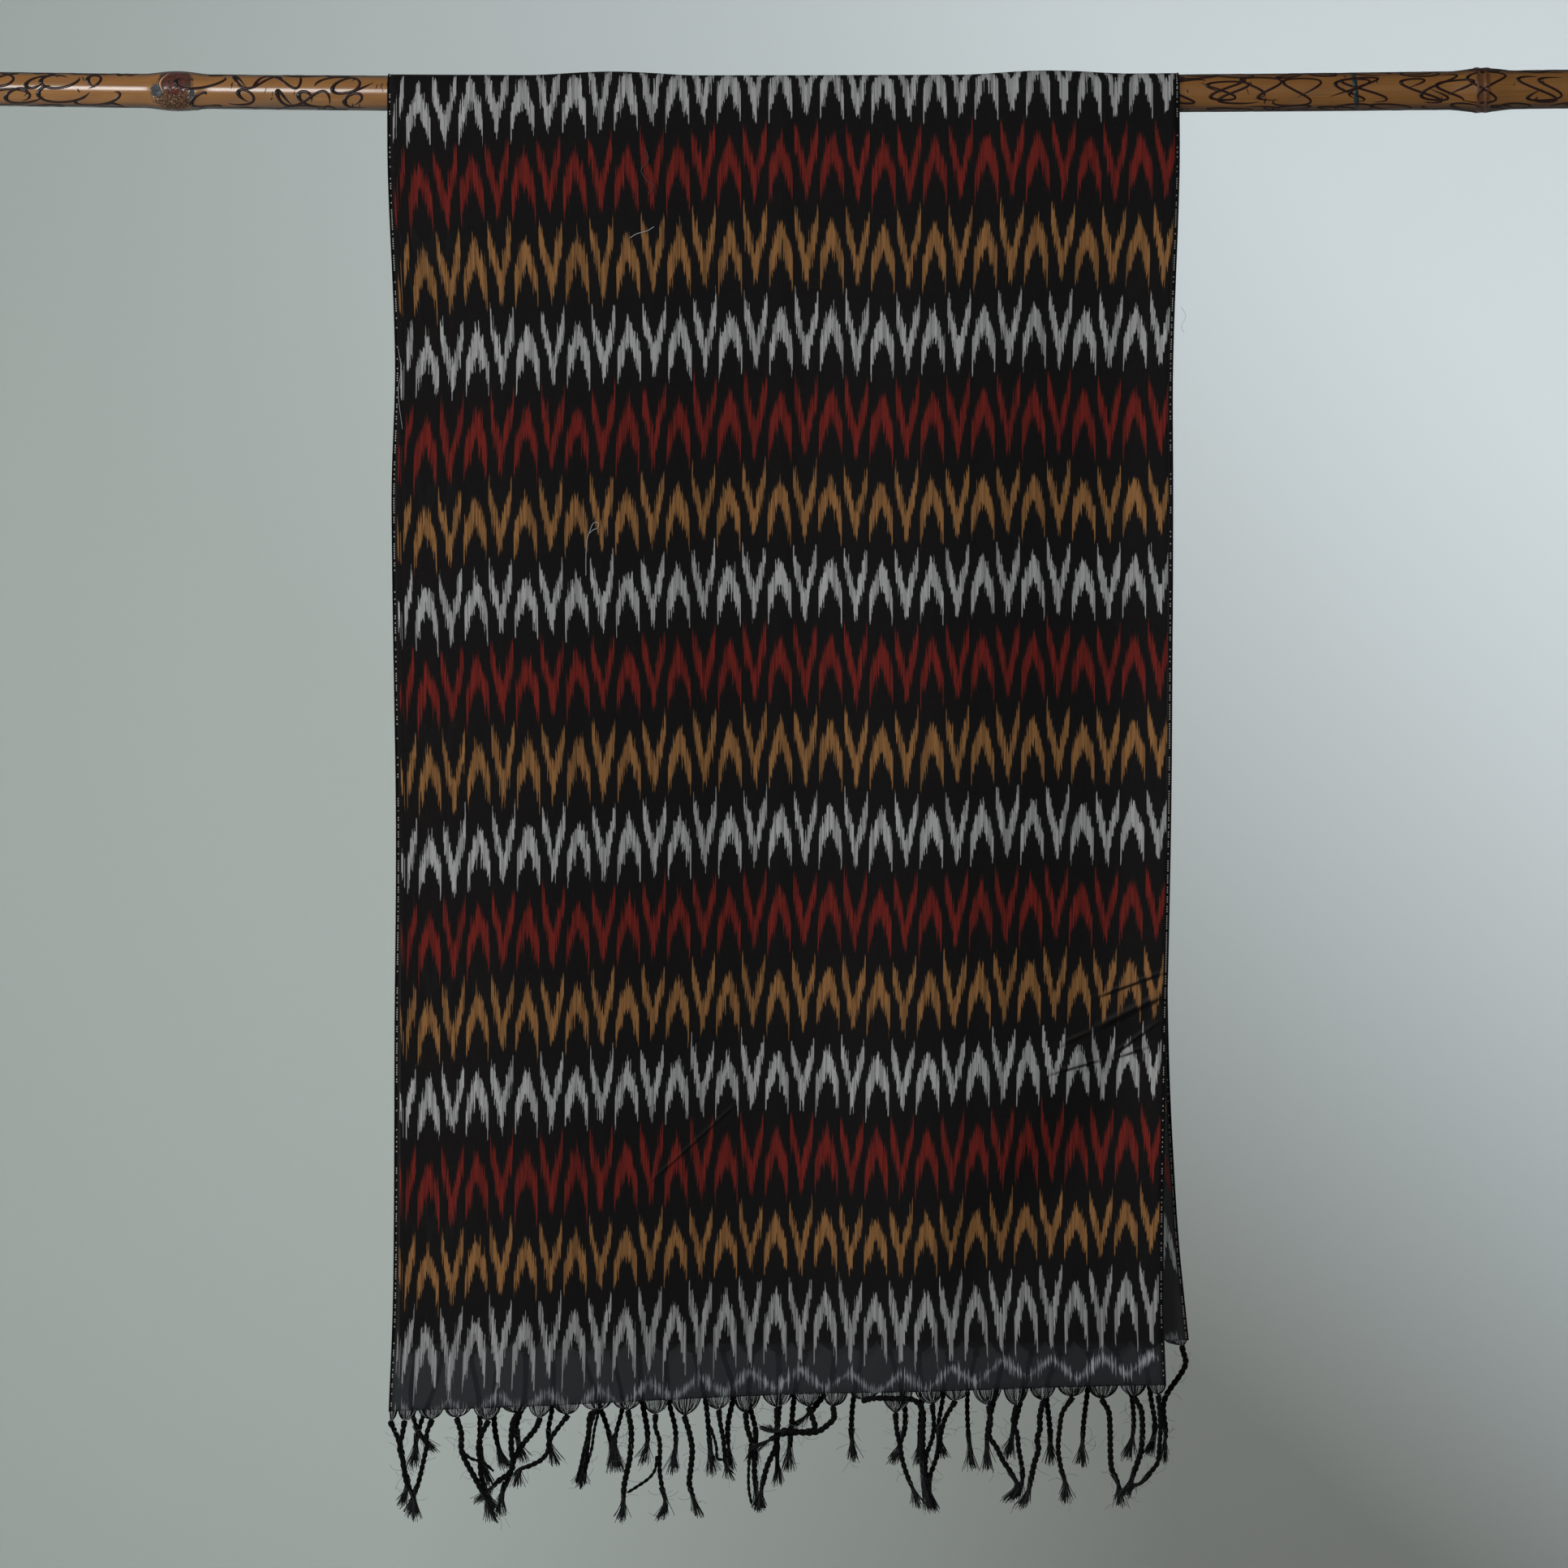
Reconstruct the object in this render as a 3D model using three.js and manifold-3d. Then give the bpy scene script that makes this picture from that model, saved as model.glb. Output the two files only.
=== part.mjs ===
// A cotton stole with knotted fringes, hung over a bamboo rod. Millimetres, +Z up. The rod lies
// along X, the front fall faces -Y and the back fall +Y. The origin is on the rod's axis, at the
// middle of its length. The stole is one woven length, made here as three walls that meet at
// seams: the front fall, the turn over the rod and the back fall.
import * as THREE from 'three';
import { mergeVertices } from 'three/addons/utils/BufferGeometryUtils.js';
import Module from 'manifold-3d';

// Cloth
const wallThickness = 1.2;
const seamGap = 0.3;
const fallCellsAcross = 18;
const fallCellsDown = 24;
const turnCellsAcross = 28;
const turnCellsAround = 10;

// Rod: a bamboo pole, a little thicker to the right and bent so that its ends rise
const rodLength = 1180;
const rodMiddleRadius = 12.8;
const rodTaper = 0.0016;
const rodBendSpan = 554;
const rodBendRise = 4;
const rodSides = 20;
const nodeFirst = -430;
const nodePitch = 308.3;
const nodeCount = 4;
const nodeSwell = 2;
const nodeHalfWidth = 24;
const coverSwell = 2.6;
const coverHalfWidth = 60;
const swellFadeDrop = 90;
const hangRadius = 14;

// Fringe: each tassel is a fan of loose threads, a knot, a twisted cord and a frayed end
const tasselCount = 28;
const stripHeight = 3;
const fanShare = 0.8;
const fanThickness = 1;
const fanEndWidth = 2;
const knotRadius = 2.3;
const knotHalfHeight = 2.6;
const cordRadius = 1.35;
const endRadius = 0.7;
const cordSides = 4;
const cordSteps = 4;
const wispSides = 3;
const wispRadius = 0.8;
const wispEndRadius = 0.25;
const wispSpread = 2.6;
const wispStart = 0.72;

// Hem of a fall: its height at X = 0, and how it climbs and curves with X
const frontHem = { middle: -922.2, slope: 0.0346, curve: -0.0000239 };
const backHem = { middle: -886.6, slope: 0.0036, curve: 0 };

// Sections of the front fall. Each row has the drop below the rod's axis, the left and right
// edges in X, and how far the cloth stands out at each place across its width.
const frontPlaces = [0, 0.2, 0.497, 0.7, 0.925, 1];
const frontSections = [
  { drop: 0, left: -280, right: 279, out: [0, 0, 0, 0, 0, 0] },
  { drop: 60, left: -279.5, right: 279, out: [-0.5, 1, -2, 1.5, -2, 0.5] },
  { drop: 190, left: -274.5, right: 274.5, out: [-1, 4, -5, 4.5, -6, 1] },
  { drop: 290, left: -277, right: 274.5, out: [-2, 5.5, -6.5, 5.5, -8, 2] },
  { drop: 510, left: -274, right: 273, out: [-2, 7, -8, 6.5, -8.5, 3] },
  { drop: 680, left: -275, right: 271, out: [-3, 7.5, -9, 6.5, -6.5, 3] },
  { drop: 850, left: -276, right: 268.5, out: [-4, 7, -8.5, 5, -3, 2] },
  { drop: 940, left: -279.5, right: 270.5, out: [-4, 6, -8, 4, -2, 3] },
];

// Sections of the back fall, in the same columns. Its right corner swings out at the hem.
const backPlaces = [0, 0.17, 0.4, 0.61, 0.83, 1];
const backSections = [
  { drop: 0, left: -280, right: 279, out: [0, 0, 0, 0, 0, 0] },
  { drop: 60, left: -278.5, right: 277.5, out: [-0.5, 1.5, -1.5, 2, -1, 0.5] },
  { drop: 190, left: -273, right: 273, out: [-1, 5, -4, 6, -3.5, 2] },
  { drop: 290, left: -275, right: 273, out: [-2, 6, -5.5, 7.5, -4, 2.5] },
  { drop: 510, left: -272.5, right: 271.5, out: [-2, 7.5, -6.5, 8, -6, 3] },
  { drop: 680, left: -272, right: 272, out: [0, 8, -7, 6.5, -6.5, 5] },
  { drop: 800, left: -272.5, right: 277, out: [1, 7, -6, 5.5, -5, 6] },
  { drop: 890, left: -273, right: 286, out: [2, 6, -5, 5, -3, 5] },
];

// A slanting trough low on the right of the front fall, between two points in X and drop
const slant = { topX: 280, topDrop: 665, endX: 146, endDrop: 828, depth: 6, halfWidth: 48, fade: 70 };

// Tassels from left to right. A route starts at the knot and gives X and the drop below the hem.
// Lift is how far the cord stands out from the hem's own depth, so that cords that cross stay apart.
const frontTassels = [
  { lift: -7, route: [[-278, 9], [-271, 29], [-267, 49], [-270, 66]] },
  { lift: 4, route: [[-269, 9], [-271, 26], [-268, 47], [-261, 75]] },
  { lift: -3, route: [[-250, 9], [-253, 25], [-257, 44], [-266, 73]] },
  { lift: 4, route: [[-231, 8], [-228, 28], [-220, 45], [-205, 77]] },
  { lift: 0, route: [[-210, 11], [-216, 27], [-214, 48], [-205, 72]] },
  { lift: -5, route: [[-189, 7], [-193, 27], [-195, 48], [-216, 67]] },
  { lift: -10, route: [[-173, 10], [-185, 28], [-195, 50], [-202, 77]] },
  { lift: 1, route: [[-154, 9], [-166, 26], [-172, 39], [-189, 56]] },
  { lift: 0, route: [[-133, 7], [-138, 20], [-140, 34], [-143, 56]] },
  { lift: 0, route: [[-110, 8], [-108, 21], [-109, 43], [-116, 83]] },
  { lift: 1, route: [[-91, 12], [-88, 29], [-88, 49], [-87, 83]] },
  { lift: 0, route: [[-70, 14], [-65, 36], [-67, 60], [-60, 82]] },
  { lift: 0, route: [[-46, 11], [-43, 27], [-40, 43], [-38, 56]] },
  { lift: -4, route: [[-27, 14], [-23, 32], [-21, 54], [-18, 80]] },
  { lift: 0, route: [[-5, 11], [-6, 37], [-14, 58], [-18, 81]] },
  { lift: 5, route: [[18, 10], [22, 21], [10, 27], [-7, 30], [-20, 38]] },
  { lift: 10, route: [[35, 10], [30, 21], [10, 26], [-14, 23]] },
  { lift: 6.2, route: [[57, 6], [76, 5], [92, 5], [98, 16], [98, 48], [103, 80]] },
  { lift: -3, route: [[79, 16], [82, 37], [88, 61], [94, 80]] },
  { lift: 0.5, route: [[105, 11], [106, 30], [100, 52], [104, 80]] },
  { lift: -5, route: [[120, 9], [111, 31], [103, 62], [105, 84]] },
  { lift: 3, route: [[145, 13], [145, 32], [163, 62], [158, 79]] },
  { lift: -2, route: [[164, 14], [165, 32], [169, 61], [164, 77]] },
  { lift: 1, route: [[183, 11], [181, 29], [177, 53], [169, 83]] },
  { lift: 0, route: [[203, 9], [195, 30], [196, 57], [199, 80]] },
  { lift: -4, route: [[226, 11], [231, 30], [232, 58], [239, 84]] },
  { lift: 0, route: [[247, 10], [252, 31], [249, 58], [242, 77]] },
  { lift: 5, route: [[263, 9], [265, 45], [258, 62], [240, 77]] },
];
const backTassels = [
  { lift: 3, route: [[-262, 10], [-266, 35], [-262, 60], [-251, 76]] },
  { lift: -2, route: [[-243, 9], [-249, 32], [-259, 58], [-265, 87]] },
  { lift: -2, route: [[-223, 11], [-217, 43], [-216, 79], [-210, 100]] },
  { lift: 3, route: [[-203, 9], [-207, 45], [-205, 70], [-199, 89]] },
  { lift: 0, route: [[-184, 10], [-185, 40], [-191, 62], [-186, 84]] },
  { lift: 0, route: [[-164, 8], [-165, 45], [-168, 66], [-163, 86]] },
  { lift: 3, route: [[-143, 10], [-131, 46], [-124, 68], [-122, 90]] },
  { lift: -2, route: [[-122, 9], [-115, 43], [-120, 68], [-118, 90]] },
  { lift: 0, route: [[-103, 12], [-101, 40], [-97, 66], [-99, 85]] },
  { lift: 0, route: [[-84, 9], [-82, 40], [-77, 64], [-79, 91]] },
  { lift: 0, route: [[-63, 10], [-56, 40], [-53, 68], [-51, 92]] },
  { lift: 0, route: [[-43, 9], [-36, 34], [-40, 60], [-38, 89]] },
  { lift: 0, route: [[-23, 11], [-25, 40], [-20, 64], [-22, 84]] },
  { lift: 0, route: [[-4, 9], [-3, 36], [-5, 70], [-4, 100]] },
  { lift: -3, route: [[15, 10], [8, 34], [5, 64], [3, 90]] },
  { lift: 4, route: [[36, 9], [33, 30], [20, 49], [8, 60]] },
  { lift: 0, route: [[56, 10], [50, 37], [48, 62], [49, 84]] },
  { lift: 0, route: [[76, 9], [85, 40], [86, 62], [78, 86]] },
  { lift: 0, route: [[96, 11], [98, 40], [97, 66], [96, 87]] },
  { lift: 1, route: [[117, 9], [113, 42], [110, 62], [113, 82]] },
  { lift: -2, route: [[137, 8], [131, 34], [131, 62], [134, 90]] },
  { lift: 0, route: [[156, 11], [150, 40], [145, 63], [145, 90]] },
  { lift: 1, route: [[176, 9], [170, 36], [164, 60], [159, 82]] },
  { lift: 0, route: [[196, 10], [187, 32], [189, 60], [190, 86]] },
  { lift: 0, route: [[217, 9], [216, 34], [213, 60], [212, 87]] },
  { lift: 0, route: [[237, 10], [246, 32], [249, 60], [245, 83]] },
  { lift: -4, route: [[257, 9], [261, 40], [264, 62], [259, 80]] },
  { lift: 2, route: [[284, 6], [286, 18], [271, 43], [272, 68], [270, 86]] },
];

// A smooth value between the stops of a table: cubic pieces whose slope at an inner stop is that
// of the line through its two neighbours.
function along(stops, values, x) {
  const last = stops.length - 1;
  const slopeAt = (i) => {
    const before = Math.max(i - 1, 0);
    const after = Math.min(i + 1, last);
    return (values[after] - values[before]) / (stops[after] - stops[before]);
  };
  let i = 0;
  while (i < last - 1 && x > stops[i + 1]) i += 1;
  const width = stops[i + 1] - stops[i];
  const t = THREE.MathUtils.clamp((x - stops[i]) / width, 0, 1);
  const s = 1 - t;
  return values[i] * s * s * (1 + 2 * t) + values[i + 1] * t * t * (3 - 2 * t)
    + slopeAt(i) * width * t * s * s - slopeAt(i + 1) * width * t * t * s;
}

// One at the centre, falling smoothly to nothing at the half width
function bump(distance, halfWidth) {
  const t = Math.min(Math.abs(distance) / halfWidth, 1);
  return (1 - t * t) ** 2;
}

const nodeCentres = Array.from({ length: nodeCount }, (_, i) => nodeFirst + nodePitch * i);

function rodAxisHeight(x) {
  return rodBendRise * (x / rodBendSpan) ** 2;
}

function rodRadius(x, swell, halfWidth) {
  const swells = nodeCentres.reduce((sum, centre) => sum + swell * bump(x - centre, halfWidth), 0);
  return rodMiddleRadius + rodTaper * x + swells;
}

// Radius of the cloth's middle surface where it lies over the rod and its swollen nodes
function clothRadius(x) {
  return rodRadius(x, coverSwell, coverHalfWidth) + seamGap + wallThickness / 2;
}

function hemHeight(hem, x) {
  return hem.middle + hem.slope * x + hem.curve * x * x;
}

// How far the slanting trough sinks at a point, fading out beyond its two ends
function slantDepth(x, drop) {
  const runX = slant.endX - slant.topX;
  const runDrop = slant.endDrop - slant.topDrop;
  const length = Math.hypot(runX, runDrop);
  const ahead = ((x - slant.topX) * runX + (drop - slant.topDrop) * runDrop) / length;
  const aside = ((x - slant.topX) * runDrop - (drop - slant.topDrop) * runX) / length;
  const beyond = Math.max(-ahead, ahead - length, 0);
  return slant.depth * bump(aside, slant.halfWidth) * bump(beyond, slant.fade);
}

// A fall. Facing is -1 for the front and 1 for the back, the way that it looks along Y, and sink
// gives how far the cloth sinks at a point beyond what its sections say.
function makeFall(facing, hem, places, sections, sink) {
  return {
    facing,
    hem,
    places,
    sink,
    top: sections[0],
    lowest: sections.at(-1),
    drops: sections.map((row) => row.drop),
    lefts: sections.map((row) => row.left),
    rights: sections.map((row) => row.right),
    outs: places.map((_, i) => sections.map((row) => row.out[i])),
  };
}

const frontFall = makeFall(-1, frontHem, frontPlaces, frontSections, slantDepth);
const backFall = makeFall(1, backHem, backPlaces, backSections, () => 0);

// A point on a fall's middle surface, across its width from 0 to 1, at a height. Near the rod it
// keeps the rod's swells, and lower down it hangs a steady distance from the rod's axis, plus its folds.
function fallPoint(fall, across, height) {
  const drop = -height;
  const x = THREE.MathUtils.lerp(
    along(fall.drops, fall.lefts, drop), along(fall.drops, fall.rights, drop), across);
  const folds = fall.outs.map((column) => along(fall.drops, column, drop));
  const swellKept = Math.exp(-Math.max(drop, 0) / swellFadeDrop);
  const hang = hangRadius + (clothRadius(x) - hangRadius) * swellKept;
  const out = hang + along(fall.places, folds, across) - fall.sink(x, drop);
  return new THREE.Vector3(x, fall.facing * out, height);
}

function topHeight(fall, across) {
  const x = THREE.MathUtils.lerp(fall.top.left, fall.top.right, across);
  return rodAxisHeight(x) - seamGap / 2;
}

function bottomHeight(fall, across) {
  return hemHeight(fall.hem, THREE.MathUtils.lerp(fall.lowest.left, fall.lowest.right, across));
}

function geometryFrom(points, triangles) {
  const geometry = new THREE.BufferGeometry().setFromPoints(points);
  let volume = 0;
  for (const [a, b, c] of triangles) volume += points[a].dot(points[b].clone().cross(points[c]));
  geometry.setIndex(triangles.flatMap(([a, b, c]) => (volume > 0 ? [a, b, c] : [a, c, b])));
  return geometry;
}

function quad(triangles, a, b, c, d) {
  triangles.push([a, b, c], [a, c, d]);
}

// A closed wall about a middle surface given by two parameters from 0 to 1. Both faces are the
// surface's points moved along its normal by half the thickness, and a rim joins them all round.
function wallAbout(surface, cellsAcross, cellsDown) {
  const step = 0.002;
  const columns = cellsAcross + 1;
  const points = [];
  for (const side of [-0.5, 0.5]) {
    for (let j = 0; j <= cellsDown; j += 1) {
      for (let i = 0; i <= cellsAcross; i += 1) {
        const u = i / cellsAcross;
        const v = j / cellsDown;
        const alongU = surface(Math.min(u + step, 1), v).sub(surface(Math.max(u - step, 0), v));
        const alongV = surface(u, Math.min(v + step, 1)).sub(surface(u, Math.max(v - step, 0)));
        const normal = alongU.cross(alongV).normalize();
        points.push(surface(u, v).addScaledVector(normal, side * wallThickness));
      }
    }
  }
  const layer = columns * (cellsDown + 1);
  const at = (i, j, side) => side * layer + j * columns + i;
  const triangles = [];
  for (let j = 0; j < cellsDown; j += 1) {
    for (let i = 0; i < cellsAcross; i += 1) {
      quad(triangles, at(i, j, 1), at(i + 1, j, 1), at(i + 1, j + 1, 1), at(i, j + 1, 1));
      quad(triangles, at(i, j, 0), at(i, j + 1, 0), at(i + 1, j + 1, 0), at(i + 1, j, 0));
    }
  }
  for (let i = 0; i < cellsAcross; i += 1) {
    quad(triangles, at(i, 0, 0), at(i + 1, 0, 0), at(i + 1, 0, 1), at(i, 0, 1));
    const foot = cellsDown;
    quad(triangles, at(i, foot, 1), at(i + 1, foot, 1), at(i + 1, foot, 0), at(i, foot, 0));
  }
  for (let j = 0; j < cellsDown; j += 1) {
    quad(triangles, at(0, j, 1), at(0, j + 1, 1), at(0, j + 1, 0), at(0, j, 0));
    const end = cellsAcross;
    quad(triangles, at(end, j, 0), at(end, j + 1, 0), at(end, j + 1, 1), at(end, j, 1));
  }
  return geometryFrom(points, triangles);
}

// A closed tube through rings of equally many points, with a flat fan across each end
function tubeThrough(rings) {
  const sides = rings[0].length;
  const points = rings.flat();
  const triangles = [];
  for (let k = 0; k < rings.length - 1; k += 1) {
    for (let i = 0; i < sides; i += 1) {
      const next = (i + 1) % sides;
      quad(triangles, k * sides + i, k * sides + next, (k + 1) * sides + next, (k + 1) * sides + i);
    }
  }
  const end = (rings.length - 1) * sides;
  for (let i = 1; i < sides - 1; i += 1) {
    triangles.push([0, i + 1, i]);
    triangles.push([end, end + i, end + i + 1]);
  }
  return geometryFrom(points, triangles);
}

// A tapering strand along points in space, each with its radius. Its rings lie square to the path.
function strand(path, radii, sides) {
  const depth = new THREE.Vector3(0, 1, 0);
  const rings = path.map((point, k) => {
    const before = path[Math.max(k - 1, 0)];
    const after = path[Math.min(k + 1, path.length - 1)];
    const tangent = after.clone().sub(before).normalize();
    const aside = tangent.clone().cross(depth).normalize();
    const up = aside.clone().cross(tangent);
    return Array.from({ length: sides }, (_, i) => {
      const angle = (2 * Math.PI * (i + 0.5)) / sides;
      return point.clone()
        .addScaledVector(aside, radii[k] * Math.cos(angle))
        .addScaledVector(up, radii[k] * Math.sin(angle));
    });
  });
  return tubeThrough(rings);
}

function rod() {
  const half = rodLength / 2;
  const stations = [-half, half];
  for (const centre of nodeCentres) {
    for (const share of [-1, -0.45, 0, 0.45, 1]) stations.push(centre + share * nodeHalfWidth);
    stations.push(centre + nodePitch / 3, centre + (2 * nodePitch) / 3);
  }
  const inside = stations.filter((x) => Math.abs(x) <= half).sort((a, b) => a - b);
  return tubeThrough(inside.map((x) => {
    const radius = rodRadius(x, nodeSwell, nodeHalfWidth);
    return Array.from({ length: rodSides }, (_, i) => {
      const angle = (2 * Math.PI * i) / rodSides;
      return new THREE.Vector3(x, radius * Math.cos(angle), rodAxisHeight(x) + radius * Math.sin(angle));
    });
  }));
}

// The cloth over the rod, from its front tangent up and over to its back tangent
function rodTurn() {
  const surface = (across, around) => {
    const x = THREE.MathUtils.lerp(frontFall.top.left, frontFall.top.right, across);
    const radius = clothRadius(x);
    const seamAngle = seamGap / 2 / radius;
    const angle = THREE.MathUtils.lerp(seamAngle, Math.PI - seamAngle, around);
    return new THREE.Vector3(x, -radius * Math.cos(angle), rodAxisHeight(x) + radius * Math.sin(angle));
  };
  return wallAbout(surface, turnCellsAcross, turnCellsAround);
}

function fallWall(fall) {
  const surface = (across, down) => {
    const height = THREE.MathUtils.lerp(topHeight(fall, across), bottomHeight(fall, across), down);
    return fallPoint(fall, across, height);
  };
  return wallAbout(surface, fallCellsAcross, fallCellsDown);
}

// The narrow strip under a hem that all of a fringe's tassels grow from
function fringeStrip(fall) {
  const surface = (across, down) => {
    const height = bottomHeight(fall, across) - seamGap - down * stripHeight;
    return fallPoint(fall, across, height);
  };
  return wallAbout(surface, tasselCount, 1);
}

// The share of a hem's width at which X lies
function hemShare(fall, x) {
  return THREE.MathUtils.clamp(THREE.MathUtils.inverseLerp(fall.lowest.left, fall.lowest.right, x), 0, 1);
}

// The solids of one tassel, which overlap each other and the strip so that they can be joined. Its
// fan hangs over its own knot, from halfway to the knot before it to halfway to the next.
function tasselPieces(fall, tassels, index) {
  const tassel = tassels[index];
  const knots = tassels.map(({ route: [[x]] }) => x);
  const fanLeft = index > 0 ? (knots[index - 1] + knots[index]) / 2 : fall.lowest.left;
  const fanRight = index < tasselCount - 1 ? (knots[index] + knots[index + 1]) / 2 : fall.lowest.right;
  const across = hemShare(fall, (fanLeft + fanRight) / 2);
  const hem = bottomHeight(fall, across);
  const root = fallPoint(fall, across, hem - seamGap - stripHeight / 2);
  const places = tassel.route.map(([x, drop], i) => {
    const depth = fallPoint(fall, hemShare(fall, x), hem).y;
    return new THREE.Vector3(x, depth + fall.facing * tassel.lift * Math.min(i, 1), hem - drop);
  });

  // The fan narrows from the strip to the top of the knot
  const knot = places[0];
  const fanEnd = knot.clone().setZ(knot.z + knotHalfHeight * 0.6);
  const fanEdge = (centre, width) => [
    new THREE.Vector3(centre.x - width / 2, centre.y - fanThickness / 2, centre.z),
    new THREE.Vector3(centre.x + width / 2, centre.y - fanThickness / 2, centre.z),
    new THREE.Vector3(centre.x + width / 2, centre.y + fanThickness / 2, centre.z),
    new THREE.Vector3(centre.x - width / 2, centre.y + fanThickness / 2, centre.z),
  ];
  const fan = tubeThrough([fanEdge(root, (fanRight - fanLeft) * fanShare), fanEdge(fanEnd, fanEndWidth)]);

  // The knot swells at the head of the cord
  const route = new THREE.CatmullRomCurve3(places);
  const headTurn = route.getTangent(0);
  const knotTop = knot.clone().addScaledVector(headTurn, -knotHalfHeight);
  const knotFoot = knot.clone().addScaledVector(headTurn, knotHalfHeight);
  const path = [knotTop, knot.clone(), knotFoot];
  const radii = [endRadius, knotRadius, cordRadius];
  for (let k = 1; k <= cordSteps; k += 1) {
    path.push(route.getPointAt(0.12 + (0.88 * k) / cordSteps));
    radii.push(k < cordSteps ? cordRadius : endRadius);
  }
  const cord = strand(path, radii, cordSides);

  // Two wisps leave the cord's end, one to each side
  const wisps = [-1, 1].map((side) => {
    const start = route.getPointAt(wispStart);
    const tip = route.getPointAt(1);
    const away = tip.clone().sub(start).normalize().cross(new THREE.Vector3(0, 1, 0));
    const end = tip.clone().addScaledVector(away, side * wispSpread);
    return strand([start, end], [wispRadius, wispEndRadius], wispSides);
  });
  return [fan, cord, ...wisps];
}

const wasm = await Module();
wasm.setup();

function toManifold(geometry) {
  const bare = new THREE.BufferGeometry();
  bare.setAttribute('position', geometry.getAttribute('position'));
  bare.setIndex(geometry.getIndex());
  const merged = mergeVertices(bare);
  return new wasm.Manifold(new wasm.Mesh({
    numProp: 3,
    vertProperties: new Float32Array(merged.getAttribute('position').array),
    triVerts: new Uint32Array(merged.getIndex().array),
  }));
}

// The strip and all the tassels of one hem, joined into one solid
function fringe(fall, tassels) {
  let joined = toManifold(fringeStrip(fall));
  tassels.forEach((_, index) => {
    const pieces = tasselPieces(fall, tassels, index).map(toManifold);
    const whole = pieces.reduce((sum, piece) => sum.add(piece));
    joined = joined.add(whole);
  });
  const mesh = joined.getMesh();
  const geometry = new THREE.BufferGeometry();
  geometry.setAttribute('position', new THREE.BufferAttribute(new Float32Array(mesh.vertProperties), 3));
  geometry.setIndex(new THREE.BufferAttribute(new Uint32Array(mesh.triVerts), 1));
  return geometry;
}

const clothMaterial = new THREE.MeshStandardMaterial({ color: 0x1c1c1f, roughness: 0.9, metalness: 0 });
const turnMaterial = new THREE.MeshStandardMaterial({ color: 0x2a2a2d, roughness: 0.9, metalness: 0 });
const fringeMaterial = new THREE.MeshStandardMaterial({ color: 0x121214, roughness: 0.85, metalness: 0 });
const bambooMaterial = new THREE.MeshStandardMaterial({ color: 0xa9845c, roughness: 0.3, metalness: 0 });

const group = new THREE.Group();

function addPiece(name, geometry, material) {
  const mesh = new THREE.Mesh(geometry, material);
  mesh.name = name;
  group.add(mesh);
}

addPiece('rod', rod(), bambooMaterial);
addPiece('rod_turn', rodTurn(), turnMaterial);
addPiece('front_fall', fallWall(frontFall), clothMaterial);
addPiece('back_fall', fallWall(backFall), clothMaterial);
addPiece('front_fringe', fringe(frontFall, frontTassels), fringeMaterial);
addPiece('back_fringe', fringe(backFall, backTassels), fringeMaterial);

export default group;
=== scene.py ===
# A black cotton ikat stole with knotted fringes, folded over a lacquered bamboo rod. Lengths are in
# millimetres until a mesh is made. X runs along the rod, the front fall faces -Y, and Z is up.
import itertools
import math

import bpy
import numpy as np
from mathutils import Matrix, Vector


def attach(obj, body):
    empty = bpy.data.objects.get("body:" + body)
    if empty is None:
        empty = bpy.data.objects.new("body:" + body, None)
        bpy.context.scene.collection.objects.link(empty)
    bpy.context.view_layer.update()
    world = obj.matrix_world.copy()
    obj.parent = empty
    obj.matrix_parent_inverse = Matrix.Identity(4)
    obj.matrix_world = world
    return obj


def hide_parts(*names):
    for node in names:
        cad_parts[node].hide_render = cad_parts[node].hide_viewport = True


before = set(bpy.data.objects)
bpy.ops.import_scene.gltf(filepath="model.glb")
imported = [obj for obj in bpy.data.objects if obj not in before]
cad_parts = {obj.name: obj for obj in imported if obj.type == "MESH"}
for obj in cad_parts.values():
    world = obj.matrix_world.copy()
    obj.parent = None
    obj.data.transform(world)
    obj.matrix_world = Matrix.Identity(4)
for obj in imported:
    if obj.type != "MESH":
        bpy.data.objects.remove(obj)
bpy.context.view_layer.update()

MM = 0.001
rng = np.random.default_rng(11)

# Cloth, with its wall in the solids and its own thin thickness here
WALL = 1.2
SEAM_GAP = 0.3
CLOTH_THICKNESS = 0.45
CLOTH_WIDTH = 560
CELLS_ACROSS = 112
FALL_CELLS_DOWN = 150
TURN_CELLS = 14
TOP_LENGTH = 21.6
EDGE_FADE = 26
EDGE_WAVE = 0.9

# Rod
ROD_LENGTH = 1180
ROD_RADIUS = 12.8
ROD_TAPER = 0.0016
BEND_SPAN = 554
BEND_RISE = 4
FIRST_NODE = -430
NODE_PITCH = 308.3
NODES = FIRST_NODE + NODE_PITCH * np.arange(4)
NODE_SWELL = 2.0
NODE_HALF_WIDTH = 24
COVER_SWELL = 2.6
COVER_HALF_WIDTH = 60
SWELL_FADE_DROP = 90
HANG_RADIUS = 14
SCAR_X = -431
RING_OFFSET = 3.2
RING_HALF_WIDTH = 2.6
LAST_RING_X = 494.5

# Hems, as height at X = 0, slope and curve
FRONT_HEM = (-922.2, 0.0346, -0.0000239)
BACK_HEM = (-886.6, 0.0036, 0.0)

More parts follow.
